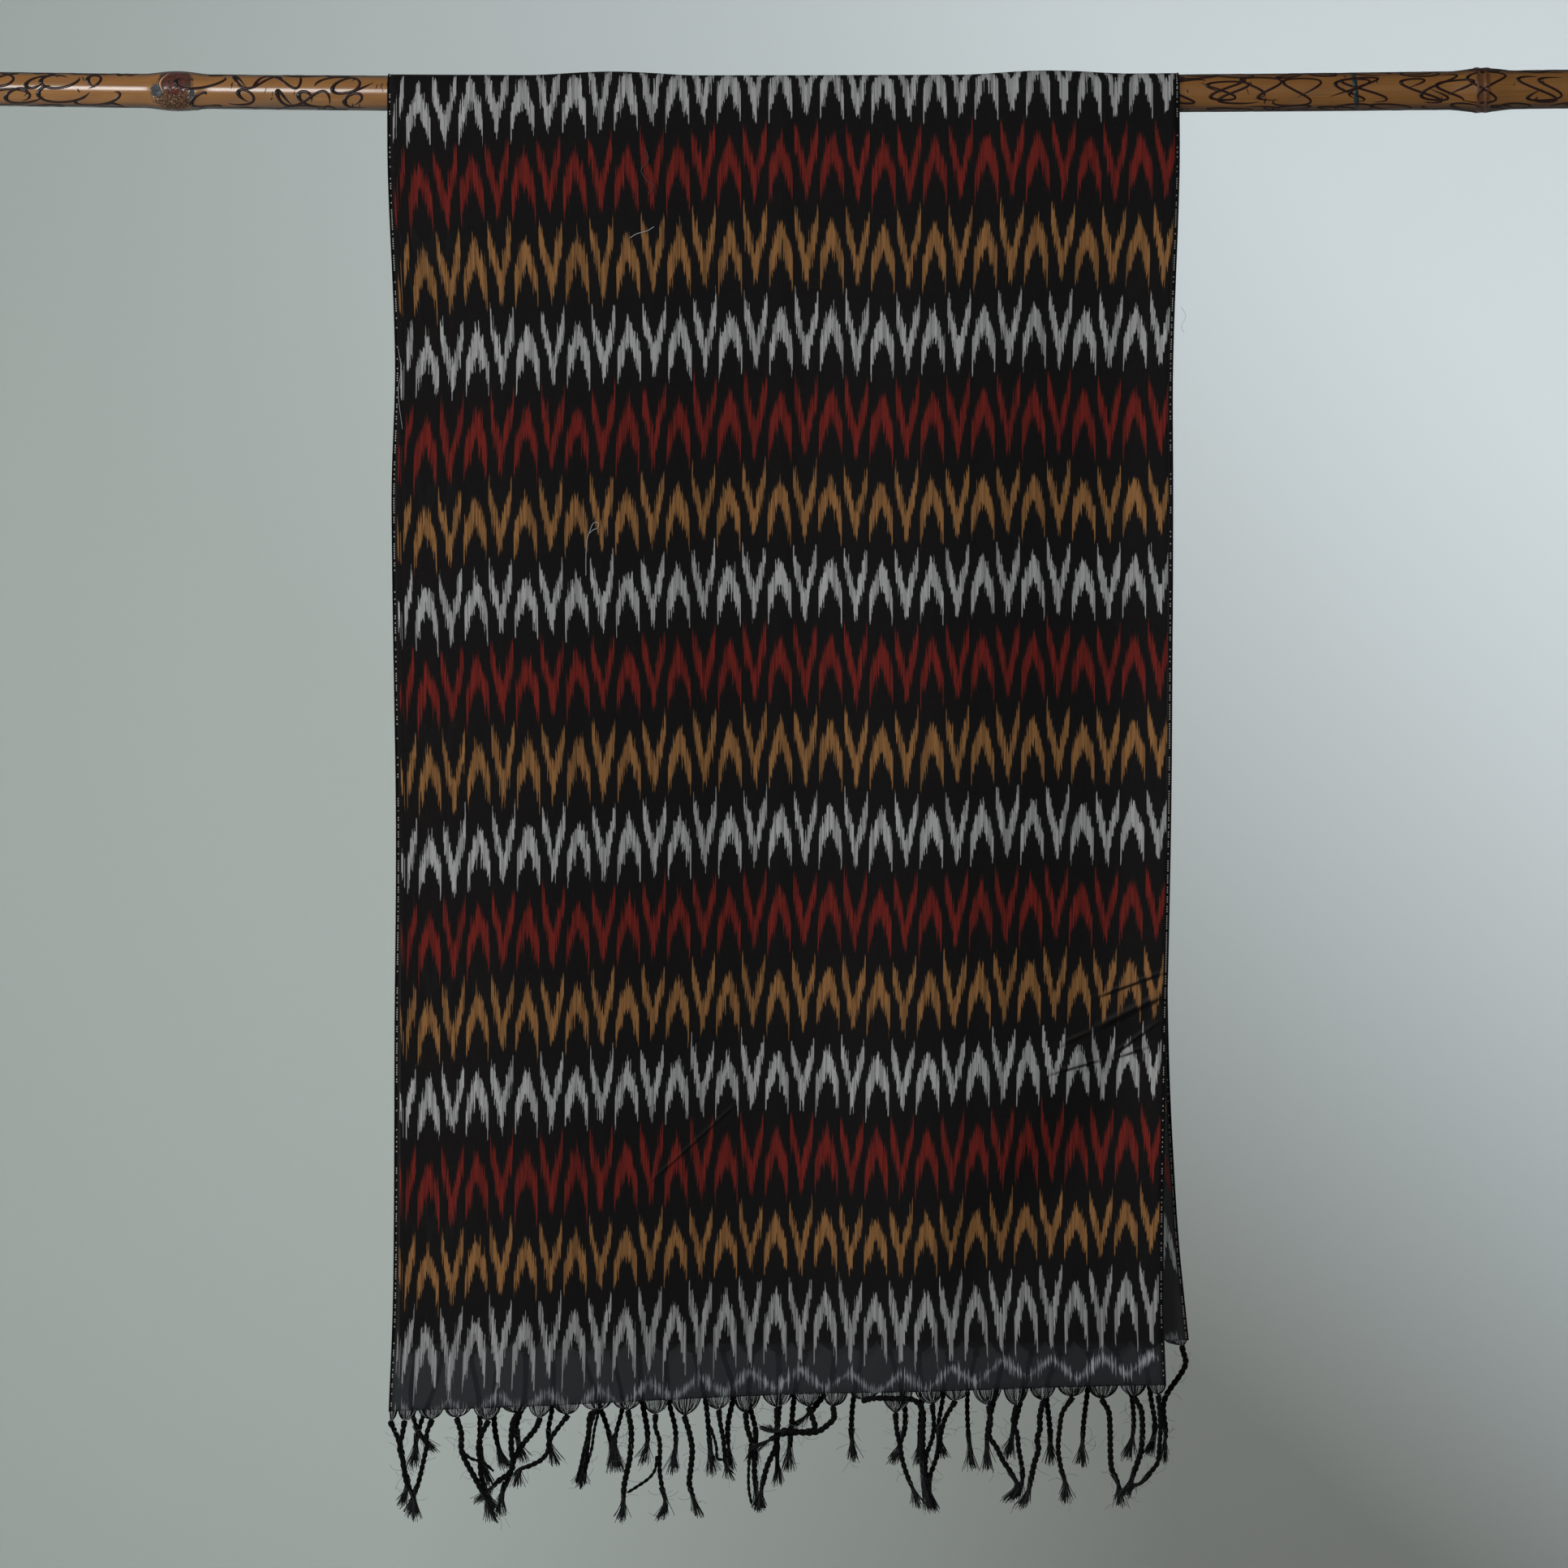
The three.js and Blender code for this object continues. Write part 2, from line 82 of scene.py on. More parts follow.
# Sections of the falls: drop below the rod, left edge, right edge, and how far the cloth stands out
# at each place across its width
FRONT_PLACES = (0, 0.2, 0.497, 0.7, 0.925, 1)
FRONT_SECTIONS = (
    (0, -280, 279, 0, 0, 0, 0, 0, 0),
    (60, -279.5, 279, -0.5, 1, -2, 1.5, -2, 0.5),
    (190, -274.5, 274.5, -1, 4, -5, 4.5, -6, 1),
    (290, -277, 274.5, -2, 5.5, -6.5, 5.5, -8, 2),
    (510, -274, 273, -2, 7, -8, 6.5, -8.5, 3),
    (680, -275, 269.8, -3, 7.5, -9, 6.5, -6.5, 3),
    (850, -276, 267.6, -4, 7, -8.5, 5, -3, 2),
    (940, -279.5, 270.5, -4, 6, -8, 4, -2, 3),
)
BACK_PLACES = (0, 0.17, 0.4, 0.61, 0.83, 1)
BACK_SECTIONS = (
    (0, -280, 279, 0, 0, 0, 0, 0, 0),
    (60, -278.5, 277.5, -0.5, 1.5, -1.5, 2, -1, 0.5),
    (190, -273, 273, -1, 5, -4, 6, -3.5, 2),
    (290, -275, 273, -2, 6, -5.5, 7.5, -4, 2.5),
    (510, -272.5, 271.5, -2, 7.5, -6.5, 8, -6, 3),
    (680, -272, 273.5, 0, 8, -7, 6.5, -6.5, 5),
    (800, -272.5, 279.5, 1, 7, -6, 5.5, -5, 6),
    (890, -273, 288, 2, 6, -5, 5, -3, 5),
)

# Creases, as X and drop of both ends, depth, half width, and whether the crease is crisp.
# A negative depth makes a ridge.
FRONT_CREASES = (
    (280, 665, 146, 828, 6, 48, False),
    (-140, 60, -141, 915, 0.9, 13, True),
    (-0.5, 20, -1.5, 925, -1.5, 16, True),
    (139, 90, 136, 900, 0.8, 12, True),
    (-274, 362, 270, 358, 0.35, 9, True),
    (-274, 534, 268, 538, -0.4, 10, True),
    (-60, 727, 262, 722, 0.4, 9, True),
    (-272, 842, 120, 838, 0.35, 8, True),
    (-80, 774, -22, 726, 0.8, 6, True),
    (209, 690, 249, 658, 0.9, 7, False),
    (222, 674, 271, 635, -0.9, 8, False),
    (236, 688, 274, 666, 0.7, 6, False),
    (-262, 96, -205, 300, 1.1, 24, False),
    (-92, 120, -70, 470, -1.0, 26, False),
    (62, 150, 88, 420, 0.9, 20, False),
    (-190, 560, -224, 800, -1.0, 22, False),
    (262, 330, 242, 520, 0.9, 16, False),
)
BACK_CREASES = (
    (-140, 60, -139, 870, -0.9, 13, True),
    (-0.5, 20, 1, 875, 1.4, 16, True),
    (139, 90, 142, 850, -0.8, 12, True),
    (-268, 350, 268, 356, 0.4, 9, True),
    (-270, 528, 270, 524, -0.4, 10, True),
    (-270, 705, 120, 712, 0.4, 9, True),
    (-210, 150, -150, 420, 1.3, 26, False),
    (88, 210, 60, 560, -1.2, 24, False),
    (240, 640, 130, 790, 3.5, 40, False),
    (-40, 610, -96, 742, 0.9, 12, False),
    (-258, 622, -212, 590, -0.8, 9, False),
)

# Fine creases that only the bump, a painted shade and a painted highlight show, as distance from the
# cloth's middle and drop of both ends, half width and strength
FINE_CREASES = (
    (226, 666, 284, 637, 2.9, 1.0),
    (198, 678, 234, 662, 2.0, 0.8),
    (224, 643, 284, 621, 1.8, 0.9),
    (238, 685, 279, 656, 1.8, 0.95),
    (190, 697, 242, 683, 1.7, 0.8),
    (238, 686, 274, 674, 1.6, 0.8),
    (-96, 774, -26, 712, 1.6, 0.6),
)

# Pattern: half-cells across and slivers in each, where each row of the front lies along the cloth
# from the rod's top line, and how far the rows dip at every other half-cell
HALF_CELLS = 31
SLIVERS = 12
ROW_PITCH = 59.2
ROW_TOPS = (-4.5, 47.5, 107, 169, 227.5, 289.5, 346.5, 402.5, 461.5, 521, 578.5, 637.5, 695, 751.5,
            813, 866)
BACK_ROW_PITCH = 57.2
LAST_ROW = 15
FIRST_CELL = 0.28
CELLS_SHOWN = 30.67
ROW_DIP = (21.3, 15.4, 12.1, 13.1, 8.8, 5.1, 2.4, -0.4, 0.4, 5, 2, -1.6, -3.5, 1.3, 0.4)
LOW_RISE_CELLS = (1.5, 13.5, 22.5, 30)
LOW_RISE = (-2, 0.5, 3.5, 12)
LOW_START = 480
LOW_SPAN = 350
LEAN_STOPS = (0, 160, 500, 900)
LEAN = (-0.004, 0, 0.005, 0.0065)
THREAD = 0.45
PAIR = 1.15
TWILL = 1.1
STITCH_PITCH = 1.7

# Distance along the cloth beyond which the front hangs alone, with the fans of the back hem behind
# its start, and the edge low on the back where painted light makes the cloth paler
SINGLE_LAYER = 906
FAN_START = 7.4
FAN_PITCH = 20.4
PAINTED_LIGHT_EDGE_WIDTH = 26
PAINTED_LIGHT_EDGE_START = 640

# Tassels from left to right: how far the cord stands out, then X and drop below the hem
FRONT_TASSELS = (
    (-7, (-278, 9), (-275, 17), (-271, 29), (-270, 40), (-267, 49), (-268, 57), (-270, 66)),
    (4, (-269, 9), (-270, 16), (-272, 26), (-269, 37), (-268, 47), (-265, 54), (-262, 61), (-261, 75)),
    (-3, (-250, 9), (-253, 17), (-253, 25), (-255, 35), (-257, 44), (-259, 52), (-262, 61), (-266, 73)),
    (4, (-231, 8), (-228, 17), (-228, 28), (-225, 36), (-220, 45), (-215, 54), (-211, 61), (-205, 77)),
    (0, (-210, 11), (-214, 19), (-216, 27), (-215, 37), (-214, 48), (-211, 57), (-205, 72)),
    (-5, (-189, 6), (-192, 12), (-193, 27), (-192, 42), (-195, 48), (-201, 52), (-211, 62), (-216, 67)),
    (-10, (-173, 10), (-176, 17), (-185, 28), (-191, 38), (-193, 46), (-196, 54), (-200, 63), (-202, 77)),
    (1, (-154, 9), (-161, 18), (-166, 26), (-167, 33), (-172, 39), (-180, 43), (-187, 46), (-189, 56)),
    (0, (-133, 6), (-137, 8), (-138, 20), (-140, 34), (-142, 44), (-143, 56)),
    (0, (-110, 8), (-108, 21), (-109, 39), (-111, 49), (-113, 59), (-114, 74), (-116, 83)),
    (1, (-91, 12), (-91, 19), (-88, 29), (-88, 49), (-86, 63), (-84, 72), (-87, 83)),
    (0, (-70, 14), (-67, 24), (-65, 36), (-66, 49), (-67, 60), (-64, 70), (-60, 82)),
    (0, (-46, 11), (-45, 19), (-43, 29), (-42, 39), (-40, 50), (-38, 56)),
    (-4, (-27, 14), (-26, 23), (-23, 32), (-21, 40), (-21, 54), (-20, 64), (-18, 80)),
    (0, (-5, 11), (-5, 23), (-6, 37), (-11, 48), (-14, 58), (-17, 72), (-18, 81)),
    (5, (18, 11), (21, 19), (22, 24), (15, 26), (4, 27), (-3, 28), (-7, 30), (-14, 34), (-20, 38)),
    (10, (35, 11), (35, 17), (30, 22), (24, 26), (15, 27), (1, 25), (-7, 26), (-14, 23)),
    (6.2, (57, 5), (64, 3), (77, 3), (92, 4), (98, 12), (98, 24), (98, 41), (98, 52), (99, 64), (103, 80)),
    (-3, (79, 17), (80, 28), (82, 37), (84, 49), (88, 61), (92, 70), (95, 80)),
    (0.5, (105, 11), (106, 22), (105, 32), (101, 44), (100, 52), (101, 63), (104, 80)),
    (-5, (120, 9), (114, 20), (111, 31), (109, 44), (106, 53), (103, 62), (103, 72), (105, 84)),
    (3, (145, 13), (146, 22), (145, 32), (150, 40), (155, 50), (161, 59), (165, 68), (159, 77)),
    (-2, (164, 14), (162, 23), (165, 32), (166, 42), (168, 53), (169, 63), (167, 70), (164, 77)),
    (1, (183, 11), (181, 20), (181, 29), (179, 36), (180, 43), (177, 53), (175, 63), (173, 73), (169, 83)),
    (0, (203, 9), (197, 18), (195, 30), (194, 43), (196, 57), (199, 67), (199, 80)),
    (-4, (226, 11), (230, 18), (231, 30), (232, 58), (236, 67), (238, 75), (239, 84)),
    (0, (249, 10), (253, 18), (253, 44), (249, 58), (246, 67), (242, 77)),
    (5, (265, 9), (266, 31), (265, 45), (264, 54), (258, 62), (252, 69), (245, 71), (240, 77)),
)
BACK_TASSELS = (
    (3, (-262, 10), (-266, 35), (-262, 60), (-251, 76)),
    (-2, (-243, 9), (-249, 32), (-259, 58), (-265, 87)),
    (-2, (-223, 11), (-217, 43), (-216, 79), (-210, 100)),
    (3, (-203, 9), (-207, 45), (-205, 70), (-199, 89)),
    (0, (-184, 10), (-185, 40), (-191, 62), (-186, 84)),
    (0, (-164, 8), (-165, 45), (-168, 66), (-163, 86)),
    (3, (-143, 10), (-131, 46), (-124, 68), (-122, 90)),
    (-2, (-122, 9), (-115, 43), (-120, 68), (-118, 90)),
    (0, (-103, 12), (-101, 40), (-97, 66), (-99, 85)),
    (0, (-84, 9), (-82, 40), (-77, 64), (-79, 91)),
    (0, (-63, 10), (-56, 40), (-53, 68), (-51, 92)),
    (0, (-43, 9), (-36, 34), (-40, 60), (-38, 89)),
    (0, (-23, 11), (-25, 40), (-20, 64), (-22, 84)),
    (0, (-4, 9), (-3, 36), (-5, 70), (-4, 100)),
    (-3, (15, 10), (8, 34), (5, 64), (3, 90)),
    (4, (36, 9), (33, 30), (20, 49), (8, 60)),
    (0, (56, 10), (50, 37), (48, 62), (49, 84)),
    (0, (76, 9), (85, 40), (86, 62), (78, 86)),
    (0, (96, 11), (98, 40), (97, 66), (96, 87)),
    (1, (117, 9), (113, 42), (110, 62), (113, 82)),
    (-2, (137, 8), (131, 34), (131, 62), (134, 90)),
    (0, (156, 11), (150, 40), (145, 63), (145, 90)),
    (1, (176, 9), (170, 36), (164, 60), (159, 82)),
    (0, (196, 10), (187, 32), (189, 60), (190, 86)),
    (0, (217, 9), (216, 34), (213, 60), (212, 87)),
    (0, (237, 10), (246, 32), (249, 60), (245, 83)),
    (-4, (257, 9), (261, 40), (264, 62), (259, 80)),
    (2, (284, 6), (286, 18), (271, 43), (272, 68), (270, 86)),
)

# Threads, knots and cords of both fringes
THREADS_PER_MM = 2.9
KNOT_HALF_HEIGHT = 2.6
PLY_RADIUS = 1.36
PLY_OFFSET = 0.86
CORD_ROWS = 72
TUFT_ROW = 50
TWIST_PITCH = 9.0
TUFT_STRANDS = (44, 56)
HAIRS_ON_CORD = 16

# Side strands that leave a cord of the front fringe: lift, then X and drop below the hem
SIDE_STRANDS = (
    (0.5, (-134, 4), (-137, 18), (-139, 36), (-142, 50), (-144, 60)),
    (1.5, (-133, 5), (-136, 14), (-141, 30), (-144, 44), (-147, 55)),
    (-1.0, (-131, 6), (-134, 18), (-136, 32), (-140, 46), (-141, 57)),
    (2.5, (-90, 39), (-91, 48), (-95, 54), (-104, 60), (-111, 64)),
    (2.0, (-52, 20), (-48, 34), (-47, 43), (-43, 44)),
    (-2.0, (-24, 34), (-25, 51), (-25, 65), (-23, 77)),
    (6.0, (-227, 29), (-222, 34), (-212, 38), (-205, 44)),
)

# Loose threads on the front fall: shade from dark to pale, radius, then X and drop
LOOSE_THREADS = (
    (0.15, 0.28, (-98, 40), (-96, 48), (-101, 55), (-97, 62), (-92, 66), (-96, 72)),
    (1.0, 0.26, (-109, 103), (-104, 100), (-97, 98), (-92, 95)),
    (1.0, 0.24, (-140, 342), (-140, 330), (-139.5, 318), (-137.5, 311), (-134.5, 304.5), (-131, 304.5),
     (-132, 308.5), (-135, 309.5), (-137.5, 312)),
    (0.8, 0.2, (-273, 181), (-271, 196), (-273, 212), (-270, 238)),
    (0.5, 0.14, (281, 152), (284, 158), (281, 166), (283, 170)),
)


def along(stops, values, x):
    """A smooth value between the stops of a table: cubic pieces whose slope at an inner stop is that
    of the line through its two neighbours. Values may hold a column for each x."""
    stops = np.asarray(stops, float)
    values = np.asarray(values, float)
    x = np.asarray(x, float)
    if values.ndim == 1:
        values = values.reshape((-1,) + (1,) * x.ndim)
    values = np.broadcast_to(values, (len(stops),) + x.shape)
    last = len(stops) - 1
    before = np.maximum(np.arange(last + 1) - 1, 0)
    after = np.minimum(np.arange(last + 1) + 1, last)
    runs = (stops[after] - stops[before]).reshape((-1,) + (1,) * x.ndim)
    slopes = (values[after] - values[before]) / runs
    i = np.clip(np.searchsorted(stops, x, side="left") - 1, 0, last - 1)
    width = stops[i + 1] - stops[i]
    t = np.clip((x - stops[i]) / width, 0, 1)
    s = 1 - t

    def at(table, index):
        return np.take_along_axis(table, index[None], axis=0)[0]

    return (at(values, i) * s * s * (1 + 2 * t) + at(values, i + 1) * t * t * (3 - 2 * t)
            + at(slopes, i) * width * t * s * s - at(slopes, i + 1) * width * t * t * s)


def bump(distance, half_width):
    """(1 - t^2)^2, with t the distance over the half width: one at the centre, nothing beyond it."""
    t = np.minimum(np.abs(distance) / half_width, 1)
    return (1 - t * t) ** 2


def unit(vectors):
    return vectors / np.maximum(np.linalg.norm(vectors, axis=-1, keepdims=True), 1e-9)


def rod_axis_height(x):
    """The rod is bowed: its axis rises with the square of X."""
    return BEND_RISE * (np.asarray(x) / BEND_SPAN) ** 2


def rod_radius(x, swell, half_width):
    """R + taper x, plus a bump at each node."""
    x = np.asarray(x, float)
    return ROD_RADIUS + ROD_TAPER * x + swell * bump(x[..., None] - NODES, half_width).sum(axis=-1)


def cloth_radius(x):
    """The middle of the cloth where it lies on the rod, with softer swells than those of the rod."""
    return rod_radius(x, COVER_SWELL, COVER_HALF_WIDTH) + SEAM_GAP + WALL / 2


def hem_height(hem, x):
    """middle + slope x + curve x^2"""
    middle, slope, curve = hem
    return middle + slope * x + curve * x * x


def from_line(x, drop, x0, drop0, x1, drop1):
    """How far along a line a place lies, how far aside of it, and the length of the line."""
    length = math.hypot(x1 - x0, drop1 - drop0)
    ahead = ((x - x0) * (x1 - x0) + (drop - drop0) * (drop1 - drop0)) / length
    aside = ((x - x0) * (drop1 - drop0) - (drop - drop0) * (x1 - x0)) / length
    return ahead, aside, length


def crease_depth(creases, x, drop):
    """Sum over the creases. Each sinks by its depth on its line and fades to nothing at its half
    width, as a bump or, where crisp, as (1 - t)^2, and it fades out over 70 beyond its ends."""
    total = np.zeros(np.broadcast(x, drop).shape)
    for *ends, depth, half_width, crisp in creases:
        ahead, aside, length = from_line(x, drop, *ends)
        beyond = np.maximum(np.maximum(-ahead, ahead - length), 0)
        near = np.maximum(1 - np.abs(aside) / half_width, 0) ** 2
        total = total + depth * (near if crisp else bump(aside, half_width)) * bump(beyond, 70)
    return total


class Fall:
    """One hanging stretch of the cloth. Facing is -1 for the front and 1 for the back."""

    def __init__(self, facing, hem, places, sections, creases):
        table = np.array(sections, float)
        self.facing = facing
        self.hem = hem
        self.places = places
        self.creases = creases
        self.drops = table[:, 0]
        self.lefts = table[:, 1]
        self.rights = table[:, 2]
        self.outs = table[:, 3:]

    def point(self, across, height):
        """The cloth at a share of its width and a height. It keeps the rod's swells near the rod,
        then hangs a steady distance out, plus its folds, less its creases, plus a slight wave of
        both edges."""
        across, height = np.broadcast_arrays(across, height)
        drop = -height
        left = along(self.drops, self.lefts, drop)
        right = along(self.drops, self.rights, drop)
        x = left + (right - left) * across
        folds = np.stack([along(self.drops, column, drop) for column in self.outs.T])
        kept = np.exp(-np.maximum(drop, 0) / SWELL_FADE_DROP)
        hang = HANG_RADIUS + (cloth_radius(x) - HANG_RADIUS) * kept
        at_left = np.exp(-across * EDGE_FADE)
        at_right = np.exp(-(1 - across) * EDGE_FADE)
        edge = at_left * np.sin(drop / 31 + 0.6 * np.sin(drop / 53))
        edge = edge + at_right * np.sin(drop / 27 + 2 + 0.8 * np.sin(drop / 61))
        wave = EDGE_WAVE * edge * np.minimum(np.maximum(drop, 0) / 80, 1)
        out = hang + along(self.places, folds, across) - crease_depth(self.creases, x, drop) + wave
        return np.stack([x, self.facing * out, height], axis=-1)

    def top(self, across):
        return rod_axis_height(self.lefts[0] + (self.rights[0] - self.lefts[0]) * across)

    def bottom(self, across):
        return hem_height(self.hem, self.lefts[-1] + (self.rights[-1] - self.lefts[-1]) * across)

    def share(self, x):
        """The share of the hem's width at which X lies."""
        return np.clip((x - self.lefts[-1]) / (self.rights[-1] - self.lefts[-1]), 0, 1)

    def below_hem(self, x, drop, lift):
        """A point below the hem, level with the cloth's depth there, plus a lift."""
        x, drop, lift = np.broadcast_arrays(np.asarray(x, float), drop, lift)
        across = self.share(x)
        foot = self.bottom(across)
        y = self.point(across, foot)[..., 1] + self.facing * lift
        return np.stack([x, y, foot - drop], axis=-1)

    def on_face(self, x, drop, lift):
        """A point on the outer face at X and a drop, plus a lift."""
        x, drop = np.broadcast_arrays(np.asarray(x, float), drop)
        left = along(self.drops, self.lefts, drop)
        right = along(self.drops, self.rights, drop)
        across = np.clip((x - left) / (right - left), 0, 1)
        place = self.point(across, -drop)
        place[..., 0] = x
        place[..., 1] += self.facing * (CLOTH_THICKNESS / 2 + lift)
        return place


front = Fall(-1, FRONT_HEM, FRONT_PLACES, FRONT_SECTIONS, FRONT_CREASES)
back = Fall(1, BACK_HEM, BACK_PLACES, BACK_SECTIONS, BACK_CREASES)


# Meshes


def finish_piece(name, points, faces, material, corner_maps=None, shades=None):
    """Makes an object of points in millimetres and faces, with UV maps given by corner."""
    mesh = bpy.data.meshes.new(name)
    mesh.from_pydata((points * MM).tolist(), [], faces)
    for map_name, values in (corner_maps or {}).items():
        layer = mesh.uv_layers.new(name=map_name)
        layer.data.foreach_set("uv", np.asarray(values, np.float32).ravel())
    if shades is not None:
        attribute = mesh.attributes.new("shade", "FLOAT", "POINT")
        attribute.data.foreach_set("value", np.asarray(shades, np.float32))
    mesh.polygons.foreach_set("use_smooth", np.ones(len(mesh.polygons), bool))
    mesh.materials.append(material)
    mesh.update()
    piece = bpy.data.objects.new(name, mesh)
    bpy.context.collection.objects.link(piece)
    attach(piece, "root")
    return piece


def grid_corners(rows, columns, closed):
    """Corners of a grid's quads, as indices of its points and, with the seam kept open, of its maps."""
    r, c = np.meshgrid(np.arange(rows - 1), np.arange(columns - 1), indexing="ij")
    down = np.stack([r, r, r + 1, r + 1], axis=-1).reshape(-1, 4)
    over = np.stack([c, c + 1, c + 1, c], axis=-1).reshape(-1, 4)
    wide = columns - 1 if closed else columns
    return down * wide + over % wide, down * columns + over


class Strands:
    """Closed tubes, gathered into one mesh with a shade for each and a map of arc and length."""

    def __init__(self):
        self.points = []
        self.faces = []
        self.corners = []
        self.shades = []
        self.count = 0

    def add(self, path, width, sides, shade=0.0, height=None, up=(0, 1, 0)):
        """A tube along a path. Its ring at each point is an ellipse square to the path, with the
        half widths given aside of the path and towards up. The ends are flat."""
        path = np.asarray(path, float)
        rows = len(path)
        width = np.broadcast_to(np.asarray(width, float), rows)
        height = width if height is None else np.broadcast_to(np.asarray(height, float), rows)
        aside, over = frames(path, up)
        angle = 2 * np.pi * (np.arange(sides) + 0.5) / sides
        ring = (aside[:, None] * (width[:, None] * np.cos(angle))[..., None]
                + over[:, None] * (height[:, None] * np.sin(angle))[..., None])
        quads, cells = grid_corners(rows, sides + 1, True)
        lengths = lengths_along(path)
        around = np.broadcast_to(np.arange(sides + 1) / sides, (rows, sides + 1))
        chart = np.stack([around, np.broadcast_to(lengths[:, None] * MM, around.shape)], axis=-1)
        self.points.append((path[:, None] + ring).reshape(-1, 3))
        self.faces += (quads[:, ::-1] + self.count).tolist()
        self.corners.append(chart.reshape(-1, 2)[cells[:, ::-1].ravel()])
        foot = self.count + (rows - 1) * sides
        self.faces.append(list(range(self.count, self.count + sides)))
        self.faces.append(list(range(foot, foot + sides))[::-1])
        self.corners.append(np.zeros((2 * sides, 2)))
        self.shades.append(np.repeat(np.broadcast_to(np.asarray(shade, float), rows), sides))
        self.count += rows * sides

    def finish(self, name, material, slot):
        return finish_piece(name, np.concatenate(self.points), self.faces, material,
                            {"length": np.concatenate(self.corners)}, np.concatenate(self.shades))


def lengths_along(path):
    """The distance to each point of a path, along its chords."""
    return np.concatenate([[0], np.cumsum(np.linalg.norm(np.diff(path, axis=0), axis=1))])


def frames(path, up):
    """Two directions square to a path at each point: aside of it, and over it towards up."""
    tangent = unit(np.gradient(path, axis=0))
    up = np.broadcast_to(np.asarray(up, float), path.shape)
    aside = unit(np.cross(tangent, up))
    return aside, np.cross(aside, tangent)


def smooth_path(places, count):
    """Evenly many points on a smooth curve through the places, by distance along their chords."""
    places = np.asarray(places, float)
    stops = lengths_along(places)
    at = np.linspace(0, stops[-1], count)
    return np.stack([along(stops, places[:, k], at) for k in range(3)], axis=-1)


# Materials


def maths(operation):
    """A method that feeds a value and what it is given to a maths node."""
    return lambda self, *others: self.math(operation, *others)


class Value:
    """A socket's number, so that shader maths reads as Python."""

    def __init__(self, graph, socket):
        self.graph = graph
        self.socket = socket

    def math(self, operation, *others, clamp=False):
        settings = {"operation": operation, "use_clamp": clamp}
        return self.graph.value("ShaderNodeMath", settings, dict(enumerate((self, *others))))

    def __rsub__(self, other):
        return self * -1 + other

    def clamped(self):
        return self.math("ADD", 0, clamp=True)

    __add__ = __radd__ = maths("ADD")
    __sub__ = maths("SUBTRACT")
    __mul__ = __rmul__ = maths("MULTIPLY")
    __truediv__ = maths("DIVIDE")
    __mod__ = maths("FLOORED_MODULO")
    __lt__ = maths("LESS_THAN")
    __gt__ = maths("GREATER_THAN")
    __abs__ = maths("ABSOLUTE")
    __round__ = maths("ROUND")
    floor = maths("FLOOR")
    sine = maths("SINE")
    root = maths("SQRT")
    power = maths("POWER")
    lower_of = maths("MINIMUM")
    upper_of = maths("MAXIMUM")
    near = maths("COMPARE")


def colour(*shown):
    """A shader colour from one given as it looks on screen, as red, green and blue from 0 to 255."""
    shares = np.array(shown) / 255
    linear = np.where(shares <= 0.04045, shares / 12.92, ((shares + 0.055) / 1.055) ** 2.4)
    return (*linear, 1.0)


